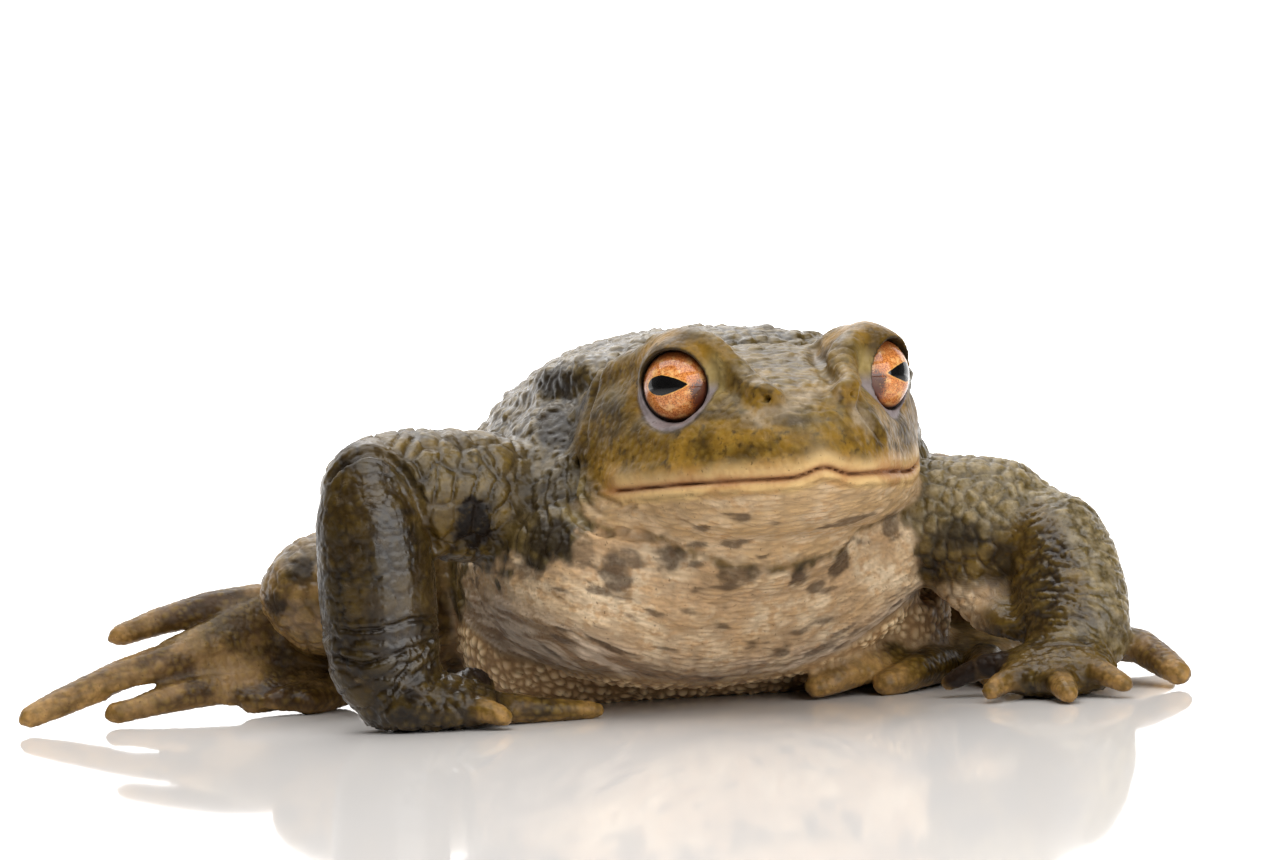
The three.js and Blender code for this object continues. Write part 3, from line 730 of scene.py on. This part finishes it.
# Chest and throat: fine streaked wrinkles slung from armpit to armpit.
sling = 0.027 - 0.015 * np.clip((z - 3.0) / 12.0, 0.0, 1.0)
hang = z - sling * (x + 1.0) ** 2 + 0.9 * (cloud(points / 3.2, 71) - 0.5)
streak_places = np.column_stack((hang / 0.42, x / 2.4, y / 2.4))
cobbles(pale, streak_places, 0.10, 72, 0.4, mark=0.7)
strand = ramp(cloud(np.column_stack((hang / 0.5, x / 3.2, y / 3.2)), 76), 0.4, 0.64)
bag = pale * parts["trunk"] * ramp(hang + 2.0 * drift, 5.5, 1.5)
folds = cloud(np.column_stack((hang / 1.5, x / 7.0, y / 7.0)), 73, 2) - 0.5
lift += pale * (parts["trunk"] * 0.7 + 0.25 * parts["head"]) * folds * 0.8
cobbles(pale, bent / 0.55, 0.03, 74, 0.4, mark=0.3)
# Belly: coarse wet grains.
warts(under, bent / 0.85, 0.16, 75, 0.3, 0.55)
cobbles(under, bent / 0.85, 0.08, 75, 0.4)

# Folds with a place of their own. The jaw's corner is wrapped by a deep fold with
# fine ones behind it; a furrow parts brow and snout; others ring armpits and wrists.
# Each row: line, width, depth, how much painted shade darkens the furrow, and rim.
FOLDS = [
    ([spot[:3] for spot in JAW_FOLD], 0.36, 0.2, 0.8, 0.12),
    ([spot[:3] for spot in ELBOW_FOLD], 0.36, 0.3, 0.9, 0.12),
    ([(-12.8, -17.9, 19.2), (-12.9, -18.2, 18.2), (-12.4, -19.3, 17.2), (-11.3, -20.3, 16.8), (-9.9, -23.2, 17.2)],
     0.2, 0.22, 0.45, 0.1),
    ([(-12.2, -19.2, 18.3), (-11.9, -19.6, 17.7), (-10.8, -21.8, 17.5)], 0.18, 0.18, 0.4, 0.08),
    ([(-13.6, -15.7, 20.1), (-14.1, -17.2, 18.4), (-13.9, -19.1, 16.6), (-12.6, -20.8, 15.3), (-10.5, -20.9, 15.2)],
     0.24, 0.24, 0.6, 0.12),
    ([(-13.9, -14.9, 20.7), (-14.6, -16.7, 18.4), (-14.6, -19.1, 16.2), (-13.3, -20.9, 14.5)], 0.24, 0.22, 0.6, 0.1),
    ([(-15.6, -14.8, 20.0), (-16.0, -15.8, 17.6), (-15.6, -17.6, 15.4)], 0.24, 0.2, 0.6, 0.1),
    ([(-32.8, -16.4, 8.6), (-30.2, -18.2, 8.4), (-27.4, -17.8, 9.0), (-25.2, -15.6, 8.8)], 0.2, 0.3, 0.9, 0.1),
    ([(-33.4, -15.6, 6.4), (-31.0, -17.6, 5.8), (-27.6, -17.9, 6.6), (-25.6, -16.2, 7.2)], 0.22, 0.34, 0.9, 0.12),
    ([(-29.6, -18.2, 3.4), (-27.8, -18.2, 5.0), (-25.8, -17.2, 6.2)], 0.16, 0.2, 0.8, 0.06),
]
for line, width, depth, colour, rim in FOLDS:
    groove(line, width, depth, colour, rim)
# The same columns, with the line given as steps on the head.
HEAD_FOLDS = [
    ([(3.6, -1.6, 3.0), (3.0, 1.6, 1.6), (3.0, 4.4, 0.1), (3.4, 7.0, -1.3), (4.6, 8.2, -3.2), (5.6, 8.0, -4.6)],
     0.5, 0.28, 0.35, 0.08),
    ([(-3.6, -1.6, 3.0), (-3.2, 1.6, 1.6)], 0.5, 0.2, 0.2, 0.0),
    ([(-12.4, -8.0, 2.0), (-12.6, -7.4, -1.6), (-13.2, -6.4, -4.4)], 0.45, 0.3, 0.5, 0.1),
]
for line, width, depth, colour, rim in HEAD_FOLDS:
    groove([on_head(*place) for place in line], width, depth, colour, rim)

seam = at_mouth * np.exp(-(above_slit / 0.34) ** 2)
# The crease mask is painted shade: darkest in creases, folds and the core of the mouth slit, and weaker close to the
# eyes.
crease_shade = np.clip(np.maximum(crease_shade * (0.35 + 0.65 * bare), 0.8 * seam ** 4), 0.0, 1.0)
lift *= ramp(off_eyes, EYE_RADIUS + 0.25, EYE_RADIUS + 1.2)
lift *= 1.0 - at_mouth * np.exp(-(above_slit / 0.5) ** 2)
points += normals * np.clip(lift, -0.9, 1.1)[:, None]
points[:, 2] = np.maximum(points[:, 2], 0.0)
print("skin", COUNT, len(triangles), len(faces))

# Colour masks, each from 0 to 1.
blots = [
    (-21.8, -15.2, 16.2, 1.5, 2.1, 1.3), (-11.5, -21.2, 11.8, 1.2, 2.1, 0.8), (-7.1, -21.2, 12.9, 1.3, 0.9, 0.75),
    (-1.4, -20.5, 11.2, 2.1, 0.7, 0.65), (3.2, -19.4, 10.9, 1.1, 1.1, 0.8), (7.2, -18.1, 11.5, 1.0, 1.5, 0.8),
    (-16.2, -18.9, 14.9, 1.8, 1.7, 0.8), (-14.0, -19.8, 13.6, 1.2, 1.2, 0.5), (-17.6, -17.4, 12.4, 1.3, 1.0, 0.6), (-36.7, 2.0, 9.8, 1.0, 1.0, 0.8), (-34.5, 0.8, 12.6, 1.3, 1.1, 0.7),
    (17.8, -15.5, 13.0, 2.2, 1.3, 0.7), (21.4, -16.0, 10.9, 1.3, 1.8, 0.75), (12.4, -16.4, 14.0, 1.0, 1.4, 0.7),
    (-14.2, -11.0, 23.4, 1.6, 2.2, 0.8), (-13.6, -8.3, 27.1, 1.5, 1.6, 0.8), (-17.6, -15.6, 18.6, 1.6, 2.4, 0.5),
    (-4.0, -29.2, 24.0, 1.7, 0.5, 0.5), (-2.4, -30.9, 23.2, 1.2, 0.45, 0.4), (0.8, -32.1, 23.4, 1.5, 0.5, 0.5),
    (-10.6, -17.0, 24.0, 1.2, 1.6, 0.35), (-9.0, -22.0, 22.6, 1.0, 0.7, 0.35),
    (-27.8, -18.0, 3.0, 0.7, 0.5, 0.8), (-27.8, -17.4, 17.6, 1.2, 0.3, 0.7), (-27.6, -17.4, 16.0, 0.5, 0.5, 0.6),
]
blotch = np.zeros(COUNT, np.float32)
for bx, by, bz, wide, tall, dark in blots:
    pick = np.linalg.norm(points - (bx, by, bz), axis=1) < 5.0
    gap = np.sqrt(((x[pick] - bx) / wide) ** 2 + ((y[pick] - by) / (2.5 * wide)) ** 2 + ((z[pick] - bz) / tall) ** 2)
    ragged = gap + 1.1 * (cloud(points[pick] / 0.8, 81) - 0.5)
    blotch[pick] = np.maximum(blotch[pick], dark * ramp(ragged, 1.25, 0.7))
streaks = ramp(cloud(np.column_stack((hang / 0.8, x / 2.6, y / 2.6)), 82), 0.6, 0.74)
blotch = np.maximum(blotch, 0.7 * streaks * pale * ramp(above_slit + 2.2 * (1 - parts["head"]), -1.4, -2.6 ))
mottle = ramp(cloud(bent / 2.6, 83), 0.55, 0.75)
blotch = np.maximum(blotch, 0.55 * mottle * (0.8 * parts["legs"] + 0.7 * parts["upper_right"] + 0.6 * parts["upper_left"]
                                             + 0.5 * parts["fore_left"] + 0.5 * back + 0.4 * front_fold))
blotch = np.maximum(blotch, 0.3 * ramp(cloud(bent / 1.1, 86), 0.5, 0.7) * plain_head)
lip = at_mouth * ramp(above_slit + 0.8 * drift, 2.0, 0.2) * ramp(above_slit + 0.3 * drift, -1.7, -1.0)
lip = np.maximum(lip, 0.25 * parts["head"] * ramp(above_slit, -0.6, -1.2))
lip = np.maximum(lip, 0.35 * jaw_corner)
cheek = ramp(ahead + 3.0 * drift, 5.5, 1.0) * ramp(above_slit + 2.0 * drift, 1.6, 3.6) * bare
warm = parts["head"] * (0.3 + 0.7 * ramp(ahead + 5.0 * drift, -9.5, -3.0)) * (1.0 - 0.55 * cheek)
TIPS = [(-20.4, -8.8, 1.1), (-15.6, -11.6, 0.7), (-11.7, -15.2, 0.6), (-20.2, -20.0, 0.7), (14.8, -19.2, 0.9),
        (16.6, -26.4, 0.7), (22.0, -31.6, 0.6), (27.6, -30.0, 0.8),
        (-51.5, 6.5, 0.9), (-58.6, 6.0, 0.9), (-50.8, 11.0, 7.0), (4.9, -13.4, 0.9), (10.8, -13.8, 0.8),
        (20.6, -14.4, 0.9), (33.4, -26.0, 0.8), (37.4, -10.6, 0.9)]
to_tip = np.full(COUNT, 99.0, np.float32)
for place in TIPS:
    to_tip = np.minimum(to_tip, np.linalg.norm(points - place, axis=1))
tip = (parts["digits"] + 0.5 * parts["feet"]) * ramp(to_tip + 3.0 * (cloud(points / 1.2, 85) - 0.5), 6.0, 0.5)
tip = np.maximum(tip, (parts["digits"] + parts["feet"]) * 0.6 * ramp(normals[:, 2], -0.2, -0.9))
pad = np.zeros(COUNT, np.float32)
for px, py, pz, size in [(-21.8, -12.6, 3.8, 1.3), (16.2, -20.3, 2.2, 1.5), (18.6, -21.4, 3.0, 1.4)]:
    pad = np.maximum(pad, ramp(np.linalg.norm(points - (px, py, pz), axis=1), size + 0.6, size - 0.3))
low_lid = np.zeros(COUNT, np.float32)
lid_gap_shade = np.zeros(COUNT, np.float32)
for side in eye_centre:
    out, nose, rise = eye_axes(side)
    gap = points - eye_centre[side]
    ring = np.hypot(gap @ nose, gap @ rise)
    front = ramp(gap @ out, 0.3, 0.9)
    low_lid = np.maximum(low_lid, front * ramp(ring, 3.72, 3.55) * ramp(gap @ rise, 0.5, -0.7))
    # Painted shade: a dark ring on the lid's inner wall round the eye, and a dark line in the fold under the lower lid.
    lid_gap_shade = np.maximum(lid_gap_shade, front * ramp(ring, 3.02, 2.9))
    lid_gap_shade = np.maximum(lid_gap_shade, 0.8 * front * np.exp(-((ring - 3.72) / 0.13) ** 2) * ramp(gap @ rise, 0.2, -0.9))
nasal = np.zeros(COUNT, np.float32)
for side in eye_centre:
    out, nose, rise = eye_axes(side)
    gap = points - eye_centre[side]
    flat = np.hypot(gap @ nose - 3.6, (gap @ rise) * 0.55)
    nasal = np.maximum(nasal, ramp(flat, 1.7, 0.5) * ramp(np.linalg.norm(gap, axis=1), 6.0, 4.8)
                       * ramp(gap @ out, 0.2, 1.2))
to_jaw = np.full(COUNT, 99.0, np.float32)
for place in [(-12.9, -17.6, 19.0), (-13.4, -18.8, 16.9), (-12.2, -20.6, 15.4)]:
    to_jaw = np.minimum(to_jaw, np.linalg.norm(points - place, axis=1))
nasal = np.maximum(nasal, 0.7 * ramp(to_jaw + 2.0 * drift, 2.5, 0.8) * (1.0 - parts["head"]) * (1.0 - pale))
hind_toes = parts["digits"] * ((x < -30.0) | (x > 29.0) | ((x > 3.0) & (x < 13.0)))
hind = (parts["legs"] + parts["feet"] + hind_toes) * (0.55 + 0.45 * ramp(cloud(points / 1.6, 87), 0.35, 0.6))
pink = np.zeros(COUNT, np.float32)
for a, b, c, wide, tall in [(-3.6, 9.6, -2.6, 2.2, 0.9), (-0.4, 9.6, -1.2, 2.4, 0.9), (3.8, 7.6, -3.4, 1.2, 1.6)]:
    gap = np.sqrt(((left - a) / wide) ** 2 + ((height - c) / tall) ** 2 + ((ahead - b) / 3.0) ** 2)
    pink = np.maximum(pink, ramp(gap + 1.6 * (cloud(points / 0.8, 84) - 0.5), 1.3, 0.5))
pink *= plain_head
flap = parts["upper_left"] * ramp(z, 9.6, 7.4) + parts["upper_right"] * ramp(z, 12.6, 11.4) * ramp(x, -24.0, -21.0)
pale = np.clip(np.maximum(pale, flap), 0.0, 1.0)

# Pale grey on the tops and outward sides: partly the skin's own grey, partly painted sheen where those sides face the
# light.
grey_and_sheen = parts["upper_left"] * ramp(z + 3 * drift, 11.0, 15.0) * 0.9
grey_and_sheen = grey_and_sheen + parts["fore_left"] * ramp(normals[:, 0] + 0.6 * normals[:, 2] + 0.8 * drift, -0.1, 0.5)
grey_and_sheen = grey_and_sheen + 0.45 * top_of_head + 0.2 * back + 0.25 * parts["upper_right"] * ramp(z + 3 * drift, 14.0, 21.0)
grey_and_sheen = grey_and_sheen + 0.25 * (parts["legs"] + parts["feet"]) * ramp(normals[:, 2], 0.0, 0.7)
face = parts["head"] * ramp(normals[:, 2], 0.97, 0.75)
gloss = 0.42 - 0.34 * face - 0.3 * np.maximum(pale, under) * (1.0 - parts["head"])

deep = parts["fore_right"] + 0.7 * parts["hands"] * (x < 0) + 0.65 * front_fold + 0.35 * nape
# The painted wart highlights are kept faint where the skin is dark.
wart_top_and_highlight = wart_top_and_highlight * (1.0 - 0.6 * np.clip(deep, 0.0, 1.0))
gloss = gloss + parts["fore_right"] * (0.7 * ramp(normals[:, 0], -0.35, 0.1) - 0.2)
gloss = gloss + 0.35 * nape + 0.3 * parts["fore_left"] + 0.2 * parts["upper_right"]
gloss = gloss - 0.5 * blotch - 0.25 * (parts["feet"] + parts["digits"])

skin_mesh = bpy.data.meshes.new("skin")
skin_mesh.vertices.add(COUNT)
skin_mesh.vertices.foreach_set("co", (points * MM).astype(np.float32).ravel())
skin_mesh.loops.add(faces.size)
skin_mesh.loops.foreach_set("vertex_index", faces.astype(np.int32).ravel())
skin_mesh.polygons.add(len(faces))
skin_mesh.polygons.foreach_set("loop_start", np.arange(0, faces.size, 4, dtype=np.int32))
skin_mesh.polygons.foreach_set("use_smooth", np.ones(len(faces), bool))
skin_mesh.update(calc_edges=True)
MASKS = {"pale": pale, "under": under, "crease_shade": crease_shade, "wart_top_and_highlight": wart_top_and_highlight, "blotch": blotch, "lip": lip, "warm": warm,
         "tip": tip, "pad": pad, "low_lid": low_lid, "lid_gap_shade": lid_gap_shade, "nasal": nasal, "pink": pink, "back": back, "grey_and_sheen": grey_and_sheen, "gloss": gloss, "seam": seam,
         "strand": strand, "bag": bag, "deep": deep, "hind": hind}
for name, mask in MASKS.items():
    layer = skin_mesh.attributes.new(name, "FLOAT", "POINT")
    layer.data.foreach_set("value", np.clip(mask, 0.0, 1.0).astype(np.float32))
skin = bpy.data.objects.new("skin", skin_mesh)
bpy.context.scene.collection.objects.link(skin)


def linear(red, green, blue):
    """A screen colour, 0 to 255, as the shader wants it."""
    return tuple(((c / 255 + 0.055) / 1.055) ** 2.4 if c > 10 else c / 255 / 12.92 for c in (red, green, blue)) + (1.0,)


class Shades:
    """Builds a material's nodes one after another."""

    def __init__(self, tree):
        self.tree = tree

    def put(self, kind, **settings):
        node = self.tree.nodes.new(kind)
        for key, value in settings.items():
            setattr(node, key, value)
        return node

    def link(self, source, socket):
        if hasattr(source, "is_output"):
            self.tree.links.new(source, socket)
        else:
            socket.default_value = source
        return socket

    def mask(self, name):
        return self.put("ShaderNodeAttribute", attribute_name=name).outputs["Fac"]

    def mix(self, share, first, second, blend="MIX"):
        node = self.put("ShaderNodeMix", data_type="RGBA", blend_type=blend)
        self.link(share, node.inputs[0])
        self.link(first, node.inputs[6])
        self.link(second, node.inputs[7])
        return node.outputs[2]

    def sum(self, operation, first, second):
        node = self.put("ShaderNodeMath", operation=operation, use_clamp=operation in ("MULTIPLY", "SUBTRACT"))
        self.link(first, node.inputs[0])
        self.link(second, node.inputs[1])
        return node.outputs[0]

    def scaled(self, value, factor, offset=0.0):
        node = self.put("ShaderNodeMath", operation="MULTIPLY_ADD")
        self.link(value, node.inputs[0])
        node.inputs[1].default_value = factor
        node.inputs[2].default_value = offset
        return node.outputs[0]

    def band(self, value, low, high, bottom=0.0, top=1.0):
        node = self.put("ShaderNodeMapRange", interpolation_type="SMOOTHSTEP")
        self.link(value, node.inputs["Value"])
        node.inputs["From Min"].default_value = low
        node.inputs["From Max"].default_value = high
        node.inputs["To Min"].default_value = bottom
        node.inputs["To Max"].default_value = top
        return node.outputs["Result"]

    def cloudy(self, where, scale, detail=4.0, roughness=0.55):
        node = self.put("ShaderNodeTexNoise")
        self.tree.links.new(where, node.inputs["Vector"])
        node.inputs["Scale"].default_value = scale
        node.inputs["Detail"].default_value = detail
        node.inputs["Roughness"].default_value = roughness
        return node.outputs["Fac"]


skin_material = bpy.data.materials.new("toad_skin")
skin_material.use_nodes = True
s = Shades(skin_material.node_tree)
skin_shader = skin_material.node_tree.nodes["Principled BSDF"]
where = s.put("ShaderNodeTexCoord").outputs["Object"]
broad = s.cloudy(where, 260.0)
fine = s.cloudy(where, 1100.0)
speck = s.cloudy(where, 3200.0, 2.0)

colour = s.mix(s.band(broad, 0.38, 0.62), linear(30, 19, 3), linear(84, 62, 12))
colour = s.mix(s.sum("MULTIPLY", s.mask("back"), 0.7), colour, s.mix(s.band(fine, 0.4, 0.6), linear(34, 25, 6), linear(86, 68, 22)))
golden = s.mix(s.band(broad, 0.36, 0.64), linear(72, 52, 10), linear(144, 108, 36))
golden = s.mix(s.band(fine, 0.52, 0.7), golden, linear(66, 48, 10))
colour = s.mix(s.mask("warm"), colour, golden)
colour = s.mix(s.sum("MULTIPLY", s.mask("deep"), 0.85), colour, s.mix(s.band(broad, 0.4, 0.62), linear(14, 8, 1), linear(36, 25, 6)))
colour = s.mix(s.sum("MULTIPLY", s.mask("hind"), 0.75), colour, s.mix(s.band(broad, 0.4, 0.62), linear(84, 58, 28), linear(160, 126, 84)))
# Painted sheen, mixed with the skin's own grey, lightens the upturned sides.
colour = s.mix(s.mask("grey_and_sheen"), colour, s.mix(s.band(fine, 0.35, 0.65), linear(88, 76, 46), linear(152, 138, 108)))
# Wart tops are lightened, partly their own yellowish colour and partly a painted highlight.
colour = s.mix(s.sum("MULTIPLY", s.mask("wart_top_and_highlight"), 0.4), colour, linear(142, 116, 52))
cream = s.mix(s.band(broad, 0.38, 0.62), linear(184, 154, 118), linear(224, 200, 166))
cream = s.mix(s.band(fine, 0.45, 0.65), cream, linear(196, 162, 122))
bag_skin = s.mix(s.mask("strand"), linear(120, 96, 74), linear(208, 190, 170))
cream = s.mix(s.sum("MULTIPLY", s.mask("bag"), 0.8), s.mix(s.sum("MULTIPLY", s.mask("strand"), 0.35), cream, linear(186, 150, 104)), bag_skin)
colour = s.mix(s.mask("pale"), colour, cream)
# The belly's own cream, with pale grains, is painted brighter still as painted light against the shade beneath the
# toad.
belly = s.mix(s.mask("wart_top_and_highlight"), linear(190, 150, 104), linear(250, 224, 180))
colour = s.mix(s.mask("under"), colour, belly)
colour = s.mix(s.mask("lip"), colour, s.mix(s.band(broad, 0.4, 0.65), linear(212, 178, 122), linear(180, 136, 84)))
colour = s.mix(s.sum("MULTIPLY", s.mask("seam"), 0.7), colour, linear(150, 92, 62))
colour = s.mix(s.mask("nasal"), colour, linear(150, 130, 80))
colour = s.mix(s.sum("MULTIPLY", s.mask("pink"), s.band(fine, 0.3, 0.6, 0.35, 0.8)), colour, linear(164, 146, 120))
colour = s.mix(s.sum("MULTIPLY", s.mask("tip"), 0.7), colour, s.mix(s.band(fine, 0.35, 0.65), linear(128, 98, 46), linear(184, 142, 82)))
colour = s.mix(s.sum("MULTIPLY", s.mask("low_lid"), 0.9), colour, linear(134, 124, 126))
# Painted shade in the gap between lid and eye, and under the lower lid.
colour = s.mix(s.sum("MULTIPLY", s.mask("lid_gap_shade"), 0.85), colour, linear(44, 36, 26))
colour = s.mix(s.sum("MULTIPLY", s.mask("blotch"), s.band(fine, 0.2, 0.5, 0.6, 1.0)), colour,
               s.mix(s.mask("pale"), linear(20, 15, 11), linear(54, 40, 32)))
colour = s.mix(s.mask("pad"), colour, linear(30, 20, 14))
colour = s.mix(s.sum("MULTIPLY", s.band(speck, 0.66, 0.74), 0.5), colour, linear(50, 38, 18))
# Painted shade: creases, folds and the mouth slit are darkened where shade would fall.
colour = s.mix(s.sum("MULTIPLY", s.mask("crease_shade"), 0.62), colour, s.mix(0.72, colour, linear(34, 22, 10)))
s.link(colour, skin_shader.inputs["Base Color"])
s.link(s.band(fine, 0.3, 0.7, 0.34, 0.56), skin_shader.inputs["Roughness"])
skin_shader.inputs["Specular IOR Level"].default_value = 0.14
s.link(s.mask("gloss"), skin_shader.inputs["Coat Weight"])
skin_shader.inputs["Coat Roughness"].default_value = 0.2
skin_shader.inputs["Coat IOR"].default_value = 1.45
stretch = s.put("ShaderNodeVectorMath", operation="MULTIPLY")
s.link(where, stretch.inputs[0])
stretch.inputs[1].default_value = (0.45, 0.45, 1.9)
cell_place = s.put("ShaderNodeMix", data_type="VECTOR")
s.link(s.mask("pale"), cell_place.inputs[0])
s.link(where, cell_place.inputs[4])
s.link(stretch.outputs[0], cell_place.inputs[5])
cells = s.put("ShaderNodeTexVoronoi", feature="F1")
s.link(cell_place.outputs[1], cells.inputs["Vector"])
cells.inputs["Scale"].default_value = 1900.0
cell_dome = s.band(cells.outputs["Distance"], 0.1, 0.75, 1.0, 0.0)
bump = s.put("ShaderNodeBump")
bump.inputs["Strength"].default_value = 0.55
bump.inputs["Distance"].default_value = 0.00009
s.link(s.sum("ADD", s.sum("ADD", fine, s.scaled(cell_dome, 0.8)), s.scaled(speck, 0.4)), bump.inputs["Height"])
s.link(bump.outputs["Normal"], skin_shader.inputs["Normal"])
sheen_bump = s.put("ShaderNodeBump")
sheen_bump.inputs["Strength"].default_value = 0.3
sheen_bump.inputs["Distance"].default_value = 0.00006
s.link(s.sum("ADD", fine, s.scaled(cell_dome, 0.8)), sheen_bump.inputs["Height"])
s.link(sheen_bump.outputs["Normal"], skin_shader.inputs["Coat Normal"])
skin_mesh.materials.append(skin_material)
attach(skin, "root")
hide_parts(*flesh_names)

# The eyes are balls with a copper iris and a level black pupil, round at the outer
# end and drawn to a point at the inner one, under a clear wet front.
PUPIL_MIDDLE = -0.24
PUPIL_OUTER = 0.35
PUPIL_INNER = 0.6
PUPIL_TALL = 0.22
IRIS_EDGE = 0.83


def eye_ball(side):
    rings, spokes = 64, 128
    out, nose, rise = eye_axes(side)
    spots, corners, local = [], [], []
    for ring in range(rings + 1):
        lean = math.pi * ring / rings
        for spoke in range(spokes):
            turn = 2 * math.pi * spoke / spokes
            u, v, w = math.sin(lean) * math.cos(turn), math.sin(lean) * math.sin(turn), math.cos(lean)
            local.append((u, v, w))
            spots.append((eye_centre[side] + EYE_RADIUS * (u * nose + v * rise + w * out)) * MM)
    handed = np.cross(nose, rise) @ out > 0
    for ring in range(rings):
        for spoke in range(spokes):
            a, b = ring * spokes + spoke, ring * spokes + (spoke + 1) % spokes
            corners.append((a, a + spokes, b + spokes, b) if handed else (a, b, b + spokes, a + spokes))
    mesh = bpy.data.meshes.new("eyeball_" + side)
    mesh.from_pydata(spots, [], corners)
    mesh.polygons.foreach_set("use_smooth", [True] * len(corners))
    layer = mesh.attributes.new("eye_spot", "FLOAT_VECTOR", "POINT")
    layer.data.foreach_set("vector", np.array(local, np.float32).ravel())
    mesh.validate()
    return mesh


eye_material = bpy.data.materials.new("toad_eye")
eye_material.use_nodes = True
s = Shades(eye_material.node_tree)
eye_shader = eye_material.node_tree.nodes["Principled BSDF"]
spot = s.put("ShaderNodeAttribute", attribute_name="eye_spot").outputs["Vector"]
split = s.put("ShaderNodeSeparateXYZ")
s.link(spot, split.inputs[0])
inward, upward = split.outputs["X"], split.outputs["Y"]
radius = s.put("ShaderNodeVectorMath", operation="LENGTH")
flat_spot = s.put("ShaderNodeCombineXYZ")
s.link(inward, flat_spot.inputs["X"])
s.link(upward, flat_spot.inputs["Y"])
s.link(flat_spot.outputs[0], radius.inputs[0])
radius = radius.outputs["Value"]
ragged = s.scaled(s.cloudy(spot, 9.0), 0.16, -0.08)
from_middle = s.sum("ADD", inward, -PUPIL_MIDDLE)
inner = s.sum("DIVIDE", s.sum("MAXIMUM", from_middle, 0.0), PUPIL_INNER)
outer = s.sum("DIVIDE", s.sum("MAXIMUM", s.scaled(from_middle, -1.0), 0.0), PUPIL_OUTER)
tall = s.sum("DIVIDE", s.sum("ABSOLUTE", upward, 0.0), PUPIL_TALL)
inner_shape = s.sum("ADD", s.sum("POWER", inner, 1.35), s.sum("POWER", tall, 1.3))
outer_shape = s.sum("ADD", s.sum("POWER", outer, 2.0), s.sum("POWER", tall, 2.0))
is_inner = s.sum("GREATER_THAN", from_middle, 0.0)
pupil = s.put("ShaderNodeMix", data_type="FLOAT")
s.link(is_inner, pupil.inputs[0])
s.link(outer_shape, pupil.inputs[2])
s.link(inner_shape, pupil.inputs[3])
pupil = s.sum("ADD", pupil.outputs[0], ragged)
veins = s.put("ShaderNodeTexVoronoi", feature="DISTANCE_TO_EDGE")
s.link(spot, veins.inputs["Vector"])
veins.inputs["Scale"].default_value = 13.0
grain = s.cloudy(spot, 26.0, 5.0, 0.7)
patchy = s.cloudy(spot, 5.0, 3.0)
iris = s.mix(s.band(grain, 0.36, 0.62), linear(160, 80, 28), linear(236, 154, 80))
iris = s.mix(s.band(patchy, 0.5, 0.68, 0.0, 0.7), iris, linear(252, 200, 128))
iris = s.mix(s.band(veins.outputs["Distance"], 0.05, 0.0, 0.0, 0.55), iris, linear(120, 42, 18))
shadow_side = s.sum("MULTIPLY", s.band(inward, 0.24, 0.7), s.band(upward, 0.34, -0.16))
shadow_side = s.sum("ADD", shadow_side, s.sum("MULTIPLY", s.band(grain, 0.35, 0.65), 0.6))
iris = s.mix(s.band(shadow_side, 0.72, 1.0, 0.0, 0.92), iris, linear(46, 34, 34))
iris = s.mix(s.band(grain, 0.66, 0.72, 0.0, 0.8), iris, linear(250, 206, 120))
iris = s.mix(s.band(radius, 0.5, 0.85, 0.0, 0.55), iris, linear(112, 44, 14))
# Painted shade of the brow and upper lid darkens the iris's top.
iris = s.mix(s.band(upward, 0.25, 0.8, 0.0, 0.6), iris, linear(88, 40, 20))
iris = s.mix(s.band(radius, IRIS_EDGE - 0.09, IRIS_EDGE, 0.0, 0.95), iris, linear(26, 18, 14))
iris = s.mix(s.band(pupil, 1.34, 1.18, 0.0, 0.55), iris, linear(244, 190, 96))
iris = s.mix(s.band(pupil, 1.2, 1.12), iris, linear(4, 3, 3))
s.link(iris, eye_shader.inputs["Base Color"])
eye_shader.inputs["Roughness"].default_value = 0.5
eye_shader.inputs["Specular IOR Level"].default_value = 0.1
eye_shader.inputs["Coat Weight"].default_value = 1.0
eye_shader.inputs["Coat Roughness"].default_value = 0.02
eye_bump = s.put("ShaderNodeBump")
eye_bump.inputs["Strength"].default_value = 0.3
eye_bump.inputs["Distance"].default_value = 0.0001
s.link(grain, eye_bump.inputs["Height"])
s.link(eye_bump.outputs["Normal"], eye_shader.inputs["Normal"])
for side in ("right", "left"):
    ball_mesh = eye_ball(side)
    ball_mesh.materials.append(eye_material)
    eyeball = bpy.data.objects.new("eyeball_" + side, ball_mesh)
    bpy.context.scene.collection.objects.link(eyeball)
    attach(eyeball, "root")
    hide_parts("eye_" + side)

bpy.context.view_layer.update()
